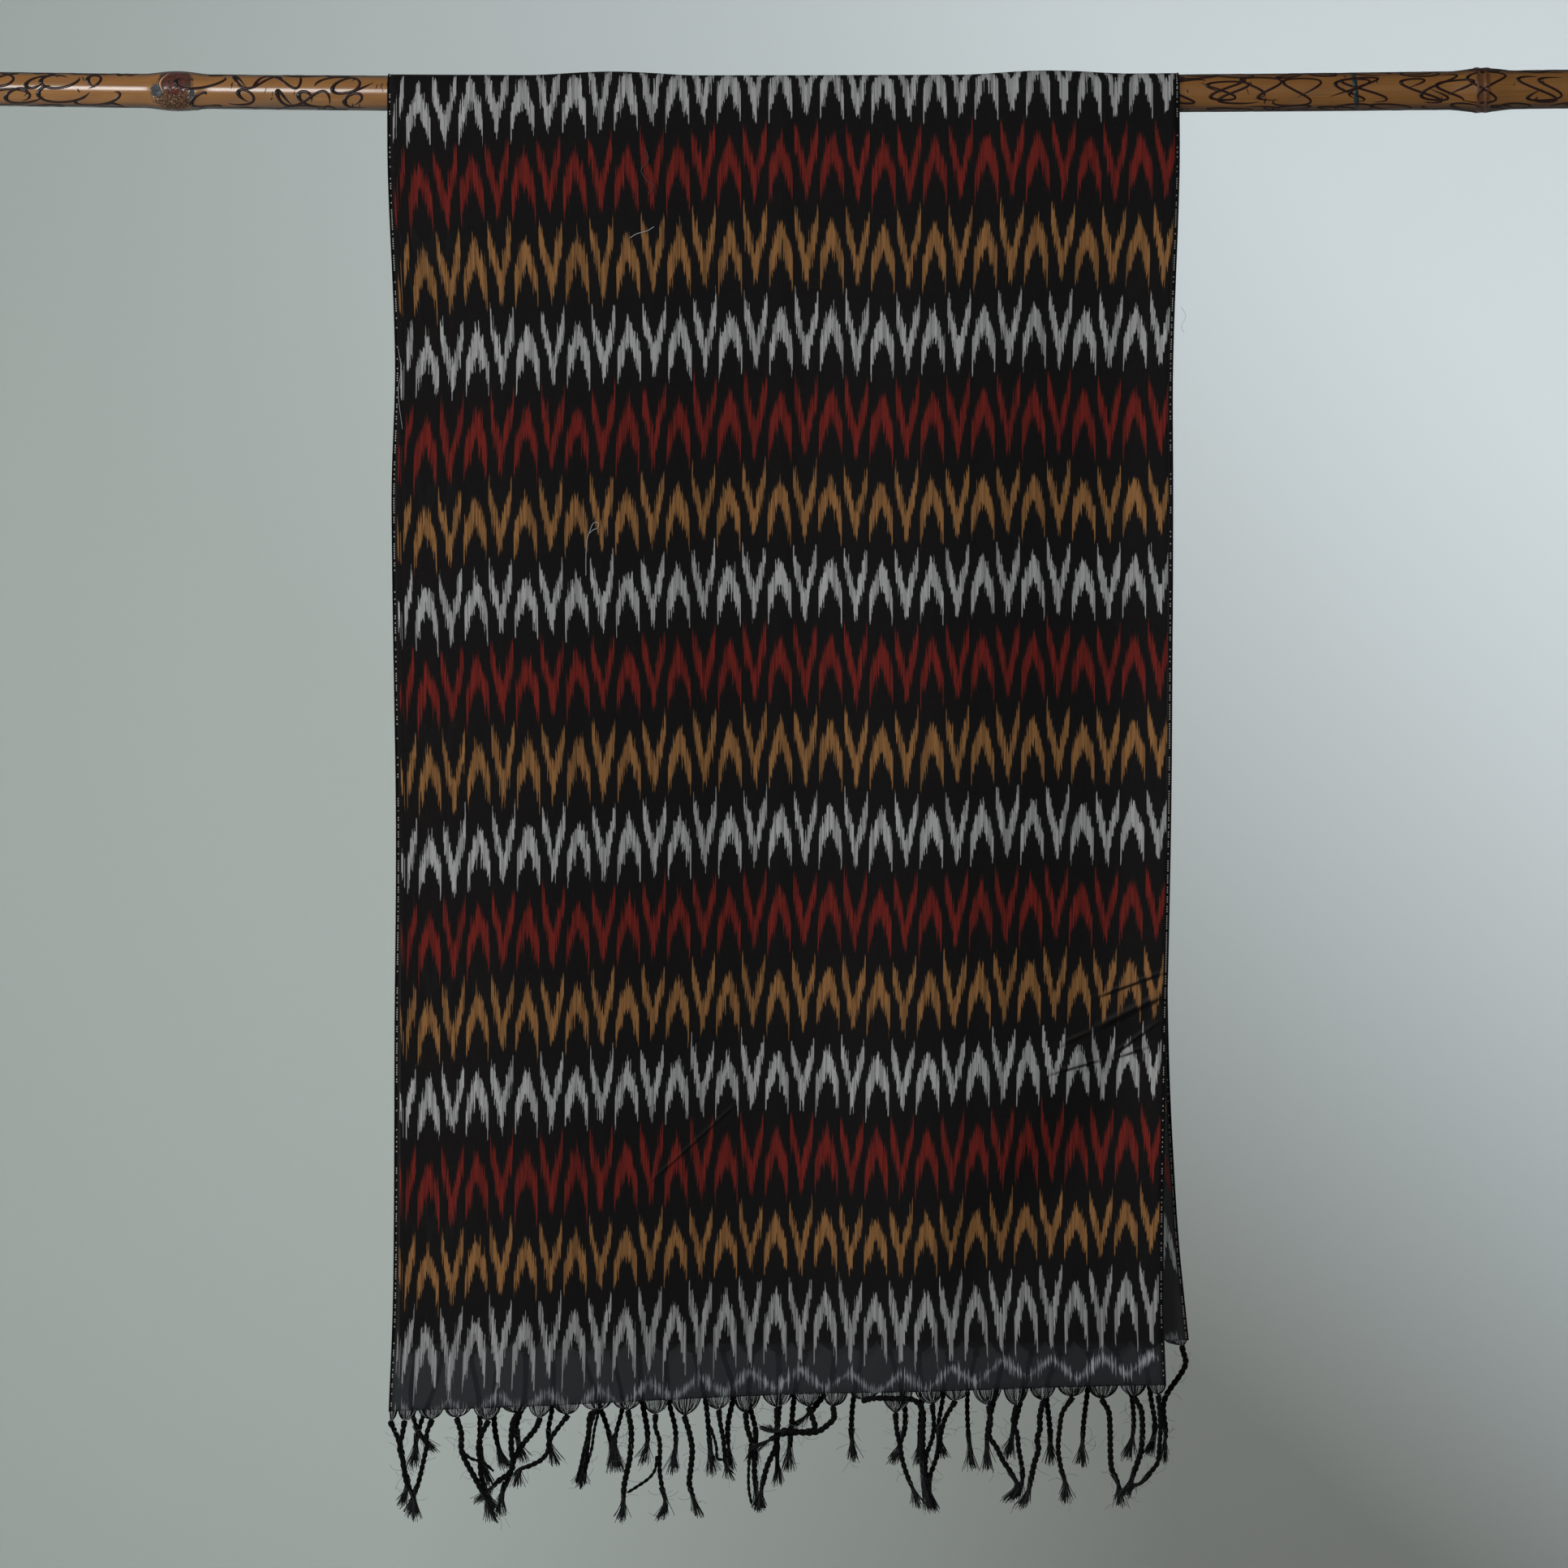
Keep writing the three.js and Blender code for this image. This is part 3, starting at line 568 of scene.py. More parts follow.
class Graph:
    """The nodes of one material, which ends in a principled shader. A plain colour is given as it
    looks on screen."""

    def __init__(self, name):
        self.material = bpy.data.materials.new(name)
        self.material.use_nodes = True
        self.tree = self.material.node_tree
        self.shader = self.tree.nodes["Principled BSDF"]

    def put(self, socket, value):
        if isinstance(value, Value):
            self.tree.links.new(value.socket, socket)
        elif isinstance(value, bpy.types.NodeSocket):
            self.tree.links.new(value, socket)
        elif isinstance(value, tuple):
            socket.default_value = colour(*value)
        else:
            socket.default_value = value

    def node(self, kind, settings=None, inputs=None):
        """Adds a node of a type, sets its settings, then its sockets, by number or identifier."""
        node = self.tree.nodes.new(kind)
        for key, value in (settings or {}).items():
            setattr(node, key, value)
        for key, value in (inputs or {}).items():
            named = {socket.identifier: socket for socket in node.inputs}
            self.put(node.inputs[key] if isinstance(key, int) else named[key], value)
        return node

    def value(self, kind, settings=None, inputs=None, output=0):
        return Value(self, self.node(kind, settings, inputs).outputs[output])

    def chart(self, name):
        """The two numbers of a UV map."""
        place = self.node("ShaderNodeUVMap", {"uv_map": name}).outputs[0]
        split = self.node("ShaderNodeSeparateXYZ", None, {0: place})
        return Value(self, split.outputs[0]), Value(self, split.outputs[1])

    def place(self):
        """Object coordinates, in metres."""
        place = self.node("ShaderNodeTexCoord").outputs["Object"]
        split = self.node("ShaderNodeSeparateXYZ", None, {0: place})
        return tuple(Value(self, output) for output in split.outputs)

    def vector(self, x, y, z=0.0):
        return self.node("ShaderNodeCombineXYZ", None, {0: x, 1: y, 2: z}).outputs[0]

    def chance(self, x, y, seed):
        """A number from -1 to 1 that is drawn anew for each x and y."""
        drawn = self.value("ShaderNodeTexWhiteNoise", {"noise_dimensions": "3D"},
                           {"Vector": self.vector(x, y, seed)})
        return drawn * 2 - 1

    def noise(self, vector, detail, roughness=0.5):
        """Smooth noise from about 0 to 1."""
        return self.value("ShaderNodeTexNoise", {"noise_dimensions": "3D"},
                          {"Vector": vector, "Scale": 1.0, "Detail": detail, "Roughness": roughness})

    def mix(self, factor, first, second):
        """First where the factor is 0 and second where it is 1."""
        mixer = self.node("ShaderNodeMix", {"data_type": "RGBA"},
                          {"Factor_Float": factor, "A_Color": first, "B_Color": second})
        return mixer.outputs[2]

    def creases(self, x, drop, table):
        """How near a place is to the lines of a table, for a painted shade in each crease, and how near to
        the ridge beside each, for a painted highlight.
        """
        trough = x * 0
        painted_highlight = x * 0
        for *ends, half_width, strength in table:
            ahead, aside, length = from_line(x, drop, *ends)
            faded = (ahead.lower_of(length - ahead) * 0.06).clamped()
            near = (1 - abs(aside) / half_width).clamped()
            beside = (1 - abs(aside - half_width * 1.3) / half_width).clamped()
            trough = trough.upper_of(near * faded * strength)
            painted_highlight = painted_highlight.upper_of(beside * faded * strength)
        return trough, painted_highlight

    def relief(self, height, distance, strength):
        """Feeds a height from 0 to 1, that many metres high, to the shader's normal."""
        bumped = self.node("ShaderNodeBump", None,
                           {"Strength": strength, "Distance": distance, "Height": height})
        self.put(self.shader.inputs["Normal"], bumped.outputs[0])

    def finish(self, **settings):
        for key, value in settings.items():
            self.put(self.shader.inputs[key.replace("_", " ").title().replace("Ior", "IOR")], value)
        return self.material


def ikat_cotton():
    """Rows of feathered chevrons tied into the warp. Each row is a zigzag made of half-cells, and each
    half-cell of slivers, which are bundles of threads that were dyed together. A sliver's colour starts
    and stops at places that are drawn for the bundle, and again for each of its threads."""
    g = Graph("ikat cotton")
    u, v = g.chart("pattern")
    across, down = g.chart("threads")
    across = across * 1000
    down = down * 1000

    cell = u.floor()
    peaked = cell % 2
    open_side = 1 - peaked
    sliver = ((u - cell) * SLIVERS).floor()
    bundle = cell * SLIVERS + sliver
    spread = abs((sliver + 0.5) / SLIVERS - 0.5) * 2
    centre = (34.75 - 34.25 * spread) * open_side + (11.5 + 27.5 * spread) * peaked
    half = (10.9 - 2.6 * spread) * open_side + (10.6 - 1.2 * spread) * peaked

    shift = g.chance(cell, 0.5, 3.5) * 1.5
    place = v - (centre + shift) / ROW_PITCH
    last = place > LAST_ROW - 0.5
    row = round(place)
    below = (place - row) * ROW_PITCH
    thread = (across / THREAD).floor()
    pair = (across / PAIR).floor()
    wander = 1.5 - u * (0.6 / HALF_CELLS)

    def tail(seed):
        return g.chance(thread, row, seed).power(3) * 5 + g.chance(pair, row, seed + 0.3) * 1.6

    upper = below + half + (g.chance(bundle, row, 1.5) * 1.2 + tail(7.5)) * wander
    upper = upper - (3 * peaked + 6 * open_side) * (1 - spread).power(5)
    tip = spread * peaked + (1 - spread) * open_side
    lower = half - below + (g.chance(bundle, row, 2.5) * 1.2 + tail(8.5)) * wander
    lower = lower + tip.power(6) * 7 - 0.9 + last * tip * tip * 9
    inside = upper.lower_of(lower) - last * (0.1 + 1.4 * abs(g.chance(thread, row, 9.5)))

    turn = row % 3
    red = turn.near(1, 0.4)
    ochre = turn.near(2, 0.4)
    softness = 0.6 + red * 1.9 + ochre * 0.9
    dyed = (inside / softness * 0.5 + 0.5).clamped()
    in_rows = abs(row) < LAST_ROW + 0.5
    in_cell = abs(u - cell - 0.5) < 0.46
    from_edge = CLOTH_WIDTH / 2 - abs(across - CLOTH_WIDTH / 2)
    at_left = (across < 8) * (g.chance(thread, 4.5, 13.5) < 0.1)
    in_edges = (from_edge > 2.6) * (1 - at_left)
    dyed = dyed * in_rows * in_cell * in_edges

    # Threads: each has its own strength, the dye thins along it, and the weft crosses it in a twill
    streak = g.noise(g.vector(across * 2.2, down * 0.09), 2.0)
    speck = g.noise(g.vector(across * 1.5, down * 1.5), 1.0)
    ribs = ((across + down) * (2 * math.pi / TWILL)).sine() * 0.5 + 0.5
    own = g.chance(thread, 0.5, 11.5) * 0.5 + 0.5
    crossed = 0.46 + 0.36 * ribs + 0.26 * own + 0.26 * g.chance(pair, row, 12.5)
    strength = dyed * crossed * (0.62 + 0.75 * streak) * (1 - last * 0.2)

    # A faint zigzag of pale flecks closes the pattern towards each hem
    zigzag = spread * 0.5 * open_side + (1 - spread * 0.5) * peaked
    fleck_front = abs(v - 16.03 - 0.24 * zigzag) * ROW_PITCH
    fleck_back = abs(v + 15.75 + 0.1 * zigzag) * ROW_PITCH
    fleck_reach = 3.2 + g.chance(thread, 0.5, 21.5) * 3.6 + g.chance(pair, 0.5, 22.5) * 2.6
    fleck = ((fleck_reach - fleck_front.lower_of(fleck_back)) * 0.3).clamped()
    fleck = fleck * (0.1 + own * 0.85) * (u / HALF_CELLS * 0.35 + 0.65) * in_edges

    # Tiny stitches along both selvedges, close together in some stretches
    stitch_row = (down / STITCH_PITCH).floor()
    stitch_at = abs(down / STITCH_PITCH - stitch_row - 0.5) < 0.27
    often = g.noise(g.vector(across * 0.01, down * 0.011), 1.0) * 3 - 1.5
    stitch = (abs(from_edge - 0.8) < 0.45) * stitch_at * (g.chance(stitch_row, 0.5, 31.5) < often)

    # Where the front fall hangs alone, below the back hem, the light behind it makes it greyer
    fans = abs(((across - FAN_START) * (math.pi / FAN_PITCH)).sine()).power(0.7) * 9
    below_back = down - SINGLE_LAYER
    alone = (below_back * 0.25).clamped() * (((below_back - fans) * 0.5).clamped() * 0.5 + 0.5)
    black = g.mix(speck, (4, 4, 4), (31, 28, 28))
    black = g.mix(alone, black, g.mix(speck, (27, 28, 31), (42, 43, 47)))
    white = g.mix(speck, (150, 150, 150), (190, 190, 189))
    crimson = g.mix(speck, (102, 30, 25), (126, 39, 32))
    amber = g.mix(speck, (133, 93, 53), (159, 113, 70))

    def by_row(in_first, in_second, in_third):
        return g.mix(ochre, g.mix(red, in_first, in_second), in_third)

    # Painted light: low on the back fall the black and the dyes are painted paler beside the right
    # selvedge, as if lit there
    near_selvedge = ((across - CLOTH_WIDTH + PAINTED_LIGHT_EDGE_WIDTH) * 0.12).clamped()
    painted_light_edge = near_selvedge * ((-PAINTED_LIGHT_EDGE_START - down) * 0.02).clamped()
    black = g.mix(painted_light_edge, black, (44, 42, 42))
    painted_light_dyes = by_row((226, 226, 226), (170, 50, 42), (206, 140, 80))
    dye_and_painted_light = g.mix(painted_light_edge, by_row(white, crimson, amber), painted_light_dyes)

    cloth = g.mix(strength.clamped(), black, dye_and_painted_light)
    cloth = g.mix(fleck.clamped(), cloth, (178, 182, 186))
    # Painted shade in each fine crease and a painted highlight on the ridge beside it
    crease, painted_highlight = g.creases(across - CLOTH_WIDTH / 2, down - TOP_LENGTH, FINE_CREASES)
    cloth = g.mix(painted_highlight * 0.2, cloth, (92, 84, 78))
    cloth = g.mix((crease * 1.5).clamped() * 0.92, cloth, (3, 3, 3))
    cloth = g.mix(stitch, cloth, (190, 184, 176))
    cover = 0.79 + 0.1 * streak + dyed * 0.04 + ((3 - from_edge) * 0.5).clamped() * 0.15
    g.relief(ribs * 0.5 + own * 0.5 - crease * 6, 0.00009, 0.6)
    return g.finish(base_color=cloth, roughness=0.92, alpha=cover.clamped(), specular_ior_level=0.12)


def twisted_cotton():
    """Black threads, some of them paler by their shade, with fine slanting plies."""
    g = Graph("twisted cotton")
    around, length = g.chart("length")
    shade = g.value("ShaderNodeAttribute", {"attribute_name": "shade"}, None, 2)
    ply = ((around * 6.2832 + length * 3600).sine() * 0.5 + 0.5)
    dark = g.mix(ply, (6, 6, 7), (15, 15, 17))
    pale = g.mix(ply, (130, 132, 136), (206, 208, 212))
    g.relief(ply, 0.00012, 0.7)
    return g.finish(base_color=g.mix(shade, dark, pale), roughness=0.9, specular_ior_level=0.08)


def lacquered_bamboo():
    """Tan cane under gloss lacquer, with long fibres, a worn scar on the first node and a red-brown
    double ring on the last, painted light towards the far left and painted shade along the top and
    bottom edges. The map gives X and the arc from the foremost line, in metres."""
    g = Graph("lacquered bamboo")
    x, arc = g.chart("cane")
    x = x * 1000
    arc = arc * 1000
    fibre = g.noise(g.vector(x * 0.02, arc * 1.7), 3.0)
    cloudy = g.noise(g.vector(x * 0.03, arc * 0.09), 3.0)
    # Painted light: the cane is paler towards the far left
    painted_light_left = (0.2 - x * 0.0016).clamped()
    cane = g.mix(fibre, (98, 60, 24), (150, 104, 50))
    cane = g.mix(painted_light_left * 0.75, cane, g.mix(fibre, (120, 76, 32), (186, 130, 68)))
    # Painted shade along the top and bottom edges of the rod, darker towards its outline
    painted_shade_rim = ((abs(arc) - 10.2) * 0.22).clamped()
    cane = g.mix(painted_shade_rim * 0.8, cane, (34, 17, 8))
    cane = g.mix((cloudy * 2.2 - 0.9).clamped() * 0.5, cane, (108, 64, 26))
    tint = ((g.noise(g.vector(x * 0.012, arc * 0.05, 4.0), 2.0) - 0.58) * 6).clamped()
    cane = g.mix(tint * 0.35, cane, (70, 84, 74))

    # The scar: a red-brown eye in a dark outline, crumbled brown below it, grey chips to both sides
    grain = g.noise(g.vector(x * 0.5, arc * 0.5), 6.0, 0.7)
    flecks = ((g.noise(g.vector(x * 0.7, arc * 0.7, 7.0), 2.0) - 0.62) * 14).clamped()
    ragged = (grain - 0.5) * 14
    coarse = ((grain - 0.5) * 3 + 0.42).clamped()

    def patch(aside, height, long, tall, rough):
        middle = SCAR_X + aside
        far = ((x - middle).power(2) / long ** 2 + (arc - height).power(2) / tall ** 2).root()
        return ((1 - far) * 8 + ragged * rough).clamped()

    eye = patch(0, 6.5, 9.5, 11, 0.3)
    crumble = patch(-1, -7, 15, 8.5, 1.0)
    chips = patch(-13, -1, 4.6, 5.2, 1.2).upper_of(patch(12, -3, 2.2, 4.6, 1.2))
    outline = patch(0, 5.5, 12.8, 13.5, 0.5)
    cane = g.mix(outline * 0.9, cane, (34, 13, 7))
    cane = g.mix(crumble, cane, g.mix(coarse, (22, 11, 7), (128, 88, 60)))
    cane = g.mix(eye, cane, g.mix(coarse, (40, 13, 7), (108, 52, 33)))
    cane = g.mix(chips, cane, g.mix(coarse, (14, 18, 22), (92, 100, 104)))
    worn = (crumble + chips).clamped()
    cane = g.mix(flecks * worn, cane, (190, 182, 166))

    # Rings round the nodes
    from_node = abs((x - FIRST_NODE + NODE_PITCH / 2) % NODE_PITCH - NODE_PITCH / 2)
    ring = (1 - from_node / RING_HALF_WIDTH).clamped() * (x > -300)
    last_ring = (1 - abs(abs(x - LAST_RING_X) - RING_OFFSET) / RING_HALF_WIDTH).clamped()
    cane = g.mix(ring * 0.55, cane, (74, 44, 28))
    cane = g.mix(last_ring, cane, g.mix(grain, (44, 18, 12), (92, 50, 38)))

    glossy = (0.5 - x * 0.0014).clamped()
    g.relief(fibre * 0.3 + worn * grain, 0.0008, 0.6)
    return g.finish(base_color=cane, roughness=0.45 + worn * 0.3, coat_weight=glossy * (1 - worn),
                    coat_roughness=0.19, specular_ior_level=0.3)


def dark_lacquer():
    """Red-brown where the line is thin and nearly black where it pools, by its shade."""
    g = Graph("dark lacquer")
    shade = g.value("ShaderNodeAttribute", {"attribute_name": "shade"}, None, 2)
    glossy = (0.2 - g.place()[0] * 0.5).clamped()
    return g.finish(base_color=g.mix(shade, (42, 14, 7), (9, 8, 7)), roughness=0.5,
                    coat_weight=glossy, coat_roughness=0.14, specular_ior_level=0.2)


def plain(name, shown, roughness):
    return Graph(name).finish(base_color=shown, roughness=roughness)


# Cloth: one sheet from the front hem up, over the rod and down to the back hem


def row_number(distance):
    """The row of the pattern at a distance along the cloth from the rod's top line. A back row is a
    steady pitch below the last, and beyond either end the rows go on at a steady pitch."""
    rows = np.arange(-40, LAST_ROW + 6)
    behind = ROW_TOPS[0] + BACK_ROW_PITCH * rows
    beyond = ROW_TOPS[-1] + ROW_PITCH * (rows - LAST_ROW)
    inner = np.array(ROW_TOPS)[np.clip(rows, 0, LAST_ROW)]
    tops = np.where(rows < 0, behind, np.where(rows > LAST_ROW, beyond, inner))
    return np.interp(distance, tops, rows)


def cloth_sheet(material):
    """The sheet in three stretches: the front fall, half a turn about the bent axis of the rod, and
    the back fall. One map counts half-cells and rows, the other measures the threads in metres."""
    across = np.linspace(0, 1, CELLS_ACROSS + 1)[None, :]
    down = np.linspace(1, 0, FALL_CELLS_DOWN + 1)[:, None]
    top = front.top(across)
    front_height = top + (front.bottom(across) - top) * down
    front_points = front.point(across, front_height)
    back_height = top + (back.bottom(across) - top) * down[::-1]
    back_points = back.point(across, back_height)

    x = front.lefts[0] + (front.rights[0] - front.lefts[0]) * across
    angle = np.linspace(0, np.pi, TURN_CELLS + 1)[1:-1, None]
    radius = cloth_radius(x)
    turn_points = np.stack([x + 0 * angle, -radius * np.cos(angle),
                            rod_axis_height(x) + radius * np.sin(angle)], axis=-1)
    points = np.concatenate([front_points, turn_points, back_points])
    turn_distance = TOP_LENGTH * np.cos(angle) + 0 * x
    distance = np.concatenate([TOP_LENGTH - front_height, turn_distance, -(TOP_LENGTH - back_height)])

    lean = np.interp(distance, LEAN_STOPS, LEAN) * np.exp(-across / 0.1)
    cells = FIRST_CELL + CELLS_SHOWN * (across - lean)
    dip = np.interp(cells, np.arange(1.5, 30, 2), ROW_DIP)
    low = np.clip((distance - LOW_START) / LOW_SPAN, 0, 1.1)
    dip = dip - np.interp(cells, LOW_RISE_CELLS, LOW_RISE) * low
    pattern = np.stack([cells, row_number(distance - dip)], axis=-1)
    threads = np.stack([across * CLOTH_WIDTH + 0 * distance, distance], axis=-1) * MM

    rows, columns = distance.shape
    quads, _ = grid_corners(rows, columns, False)
    corners = quads[:, ::-1]
    maps = {"pattern": pattern.reshape(-1, 2)[corners.ravel()],
            "threads": threads.reshape(-1, 2)[corners.ravel()]}
    sheet = finish_piece("stole_cloth", points.reshape(-1, 3), corners.tolist(), material, maps)
    shell = sheet.modifiers.new("thickness", "SOLIDIFY")
    shell.thickness = CLOTH_THICKNESS * MM
    shell.offset = 0
    return sheet, points


def edge_cords(points, material):
    """A thin rolled edge down each side of the cloth."""
    edges = Strands()
    for column, outward in ((0, -1), (-1, 1)):
        path = points[::2, column].copy()
        path[:, 0] += outward * 0.15
        edges.add(path, 0.75, 6, 0.0, up=(1, 0, 0))
    return edges.finish("edge_cords", material, "cloth")


# Fringe


def cord(strands, path, shade, thickness=1.0):
    """Two plies that wind round a path, each a tube."""
    lengths = lengths_along(path)
    aside, over = frames(path, (0, 1, 0))
    phase = rng.uniform(0, 2 * np.pi)
    for turned in (0, np.pi):
        wind = 2 * np.pi * lengths / TWIST_PITCH + phase + turned
        ply = path + PLY_OFFSET * thickness * (aside * np.cos(wind)[:, None] + over * np.sin(wind)[:, None])
        taper = np.interp(np.linspace(0, 1, len(path)), [0, 0.04, 0.9, 1], [0.8, 1, 1, 0.6])
        strands.add(ply, PLY_RADIUS * thickness * taper, 6, shade)


def knot(strands, place, heading):
    """A cord wound two and a half times round the head of the tassel."""
    turns = np.linspace(0, 2.5 * 2 * np.pi, 24)
    side = unit(np.cross(heading, (0.0, 1.0, 0.0)))
    over = np.cross(side, heading)
    rise = np.linspace(-KNOT_HALF_HEIGHT, KNOT_HALF_HEIGHT, len(turns)) * 0.75
    swell = 1.55 - 0.035 * rise * rise
    path = (place + heading * rise[:, None] + side * (swell * np.cos(turns))[:, None]
            + over * (swell * np.sin(turns))[:, None])
    strands.add(path, 0.85, 6, 0.0, up=heading)
    reach = heading * KNOT_HALF_HEIGHT
    strands.add(np.linspace(place - reach, place + reach, 4), [0.8, 1.5, 1.5, 0.9], 6)


def fan(strands, fall, left, right, head):
    """Loose threads from a stretch of hem into the knot: quadratic curves whose middle point lies low
    under the hem, so that together they make a bowl. Three at each side are thicker."""
    count = max(int((right - left) * THREADS_PER_MM), 8)
    starts = left + (right - left) * (0.03 + 0.94 * (np.arange(count) + 0.5) / count)
    t = np.linspace(0, 1, 7)[:, None]
    for i, x in enumerate(starts + rng.normal(0, 0.1, count)):
        hem_point = fall.below_hem(x, -1.0, rng.normal(0, 0.15))
        lean = x * 0.86 + head[0] * 0.14
        middle = fall.below_hem(lean, 0, rng.normal(0, 0.5))
        middle[2] = head[2] + 0.32 * (hem_point[2] - head[2]) + rng.normal(0, 0.5)
        end = head + np.array([rng.normal(0, 0.5), rng.normal(0, 0.5), 1.2])
        path = hem_point * (1 - t) ** 2 + middle * 2 * t * (1 - t) + end * t * t
        outer = min(i, count - 1 - i) < 3
        pale = rng.random() < 0.25 * (not outer)
        strands.add(path, rng.uniform(0.13, 0.28) + 0.14 * outer, 3, rng.uniform(0.3, 0.75) * pale)


def tuft(strands, path):
    """A frayed end: fine strands that follow the end of the cord and spread with the square of the
    way along it."""
    t = np.linspace(0, 1, 6)[:, None]
    core = path[np.linspace(0, len(path) - 1, 6).astype(int)]
    heading = unit(path[-1] - path[-4])
    for _ in range(rng.integers(*TUFT_STRANDS)):
        spread = rng.normal(0, 1, 3) * (2.7, 1.5, 0.8)
        start = rng.normal(0, 1, 3) * (0.8, 0.8, 0.3)
        reach = heading * rng.uniform(-3.5, 2.5)
        ring = core + start * (1 - t) + (spread + reach) * t * t
        strands.add(ring, np.linspace(0.48, 0.24, 6), 3, rng.uniform(0, 0.07))


def hairs(strands, path):
    """Fine hairs that stand off a cord and curl."""
    for _ in range(HAIRS_ON_CORD):
        start = path[rng.integers(2, len(path) - 1)]
        t = np.linspace(0, 1, 8)[:, None]
        reach = rng.uniform(5, 15)
        bend = rng.uniform(-2.5, 2.5)
        angle = rng.uniform(0, 2 * np.pi) + bend * t
        step = np.concatenate([np.cos(angle), rng.uniform(-0.3, 0.3) + 0 * t, np.sin(angle)], axis=1)
        hair = start + np.cumsum(step, axis=0) * reach / 8
        strands.add(hair, 0.12, 3, rng.uniform(0.0, 0.4))


def fringe(name, fall, tassels, side_strands, material):
    """The tassels of one fall. Each gathers the threads of its own stretch of the hem, which ends
    midway between its knot and the next."""
    strands = Strands()
    knots = np.array([tassel[1][0] for tassel in tassels], float)
    between = (knots[1:] + knots[:-1]) / 2
    edges = np.concatenate([[fall.lefts[-1]], between, [fall.rights[-1]]])
    for (lift, *route), left, right in zip(tassels, edges[:-1], edges[1:]):
        xs, drops = np.array(route, float).T
        rise = lift * np.minimum(np.arange(len(route)), 1)
        places = fall.below_hem(xs, drops, rise)
        places[:, 2] = fall.bottom(fall.share((left + right) / 2)) - drops
        places[1:, 1] += np.cumsum(rng.normal(0, 0.25, len(places) - 1))
        path = smooth_path(places, CORD_ROWS)
        heading = unit(path[3] - path[0])
        fan(strands, fall, left, right, places[0] - heading * KNOT_HALF_HEIGHT * 0.6)
        knot(strands, places[0], heading)
        cord(strands, path[:TUFT_ROW + 8], 0.0, rng.uniform(0.88, 1.1))
        tuft(strands, path[TUFT_ROW:])
        hairs(strands, path)
    for lift, *route in side_strands:
        xs, drops = np.array(route, float).T
        path = smooth_path(fall.below_hem(xs, drops, lift), 28)
        cord(strands, path, 0.0, 0.6)
    return strands.finish(name, material, "fringe")


def loose_threads(material):
    """Single threads that lie on the front fall or stand off its edges."""
    strands = Strands()
    for shade, radius, *route in LOOSE_THREADS:
        xs, drops = np.array(route, float).T
        strands.add(smooth_path(front.on_face(xs, drops, radius + 0.25), 26), radius, 4, shade)
    return strands.finish("loose_threads", material, "cloth")


# Rod


def rod_surface(x, angle, proud=0.0):
    """A point on the rod: a circle about the bent axis, whose radius swells at the nodes, with two
    narrow rings at the last node, a ridge and a groove at each inner node, and a dented scar."""
    x, angle = np.broadcast_arrays(x, angle)
    radius = rod_radius(x, NODE_SWELL, NODE_HALF_WIDTH)
    last = NODES[-1]
    radius = radius + 0.7 * bump(x - last + RING_OFFSET, RING_HALF_WIDTH)
    radius = radius + 0.55 * bump(x - last - RING_OFFSET, RING_HALF_WIDTH)
    radius = radius - 0.5 * bump(x - last, 1.6)
    for node in NODES[1:-1]:
        radius = radius + 0.5 * bump(x - node, 2.4) - 0.35 * bump(x - node - 4, 2.4)
    arc = radius * angle
    beside = x - SCAR_X - 4
    dented = bump(np.hypot(beside * 0.9, (arc - 5) * 1.3), 14)
    crumbled = bump(np.hypot(beside * 0.8, arc + 7), 18)
    rough = np.sin(x * 2.1 + arc * 1.3) * np.sin(x * 0.9 - arc * 2.3)
    radius = radius - 0.45 * dented + 0.28 * crumbled * rough + proud
    return np.stack([x, -radius * np.cos(angle), rod_axis_height(x) + radius * np.sin(angle)], axis=-1)


def rod_piece(material):
    """The rod with flat ends, its mesh closer at the nodes."""
    half = ROD_LENGTH / 2
    even = np.linspace(-half, half, 240)
    close = np.concatenate([node + np.linspace(-20, 20, 41) for node in NODES])
    x = np.unique(np.round(np.concatenate([even, close]), 2))[:, None]
    angle = np.linspace(np.pi, -np.pi, 65)[None, :]
    points = rod_surface(x, angle)
    rows, columns = points.shape[:2]
    quads, cells = grid_corners(rows, columns, True)
    chart = np.stack([x + 0 * angle, rod_radius(x, 0, 1) * angle], axis=-1) * MM
    corner_map = chart.reshape(-1, 2)[cells[:, ::-1].ravel()]
    sides = columns - 1
    start = list(range(sides))
    end = list(range((rows - 1) * sides, rows * sides))[::-1]
    caps = np.concatenate([chart[0, :-1], chart[-1, :-1][::-1]])
    points = points[:, :-1].reshape(-1, 3)
    faces = quads[:, ::-1].tolist() + [start, end]
    return finish_piece("bamboo_rod", points, faces, material,
                        {"cane": np.concatenate([corner_map, caps])})


def line_on_rod(lines, x, angle, half_width, shade):
    """A flat line just proud of the rod, which narrows to its ends."""
    on_rod = rod_surface(x, angle, LINE_PROUD)
    axis = np.stack([x, 0 * x, rod_axis_height(x)], axis=-1)
    steps = np.arange(len(x))
    taper = np.minimum(1, np.minimum(steps, steps[::-1]) / 8 + 0.15)
    lines.add(on_rod, half_width * taper, 4, shade, height=0.12, up=unit(on_rod - axis))


# Lacquer loops on each side of the cloth: both ends, bands round the rod, spacing, swings along the
# rod in one turn, and half width. Then the short spots on a side, the long lines by their angle, how
# far all of them stand proud, and the room they leave at the scar.
LACQUER_LOOPS = (
    (-586, -262, 6, 26, 1, 1.35),
    (262, 586, 4, 22, 2, 1.15),
)
SPOTS_A_SIDE = 44
LONG_LINES = (-1.75, -1.35, 1.3, 1.7)
LINE_PROUD = 0.03
SCAR_CLEAR = 19


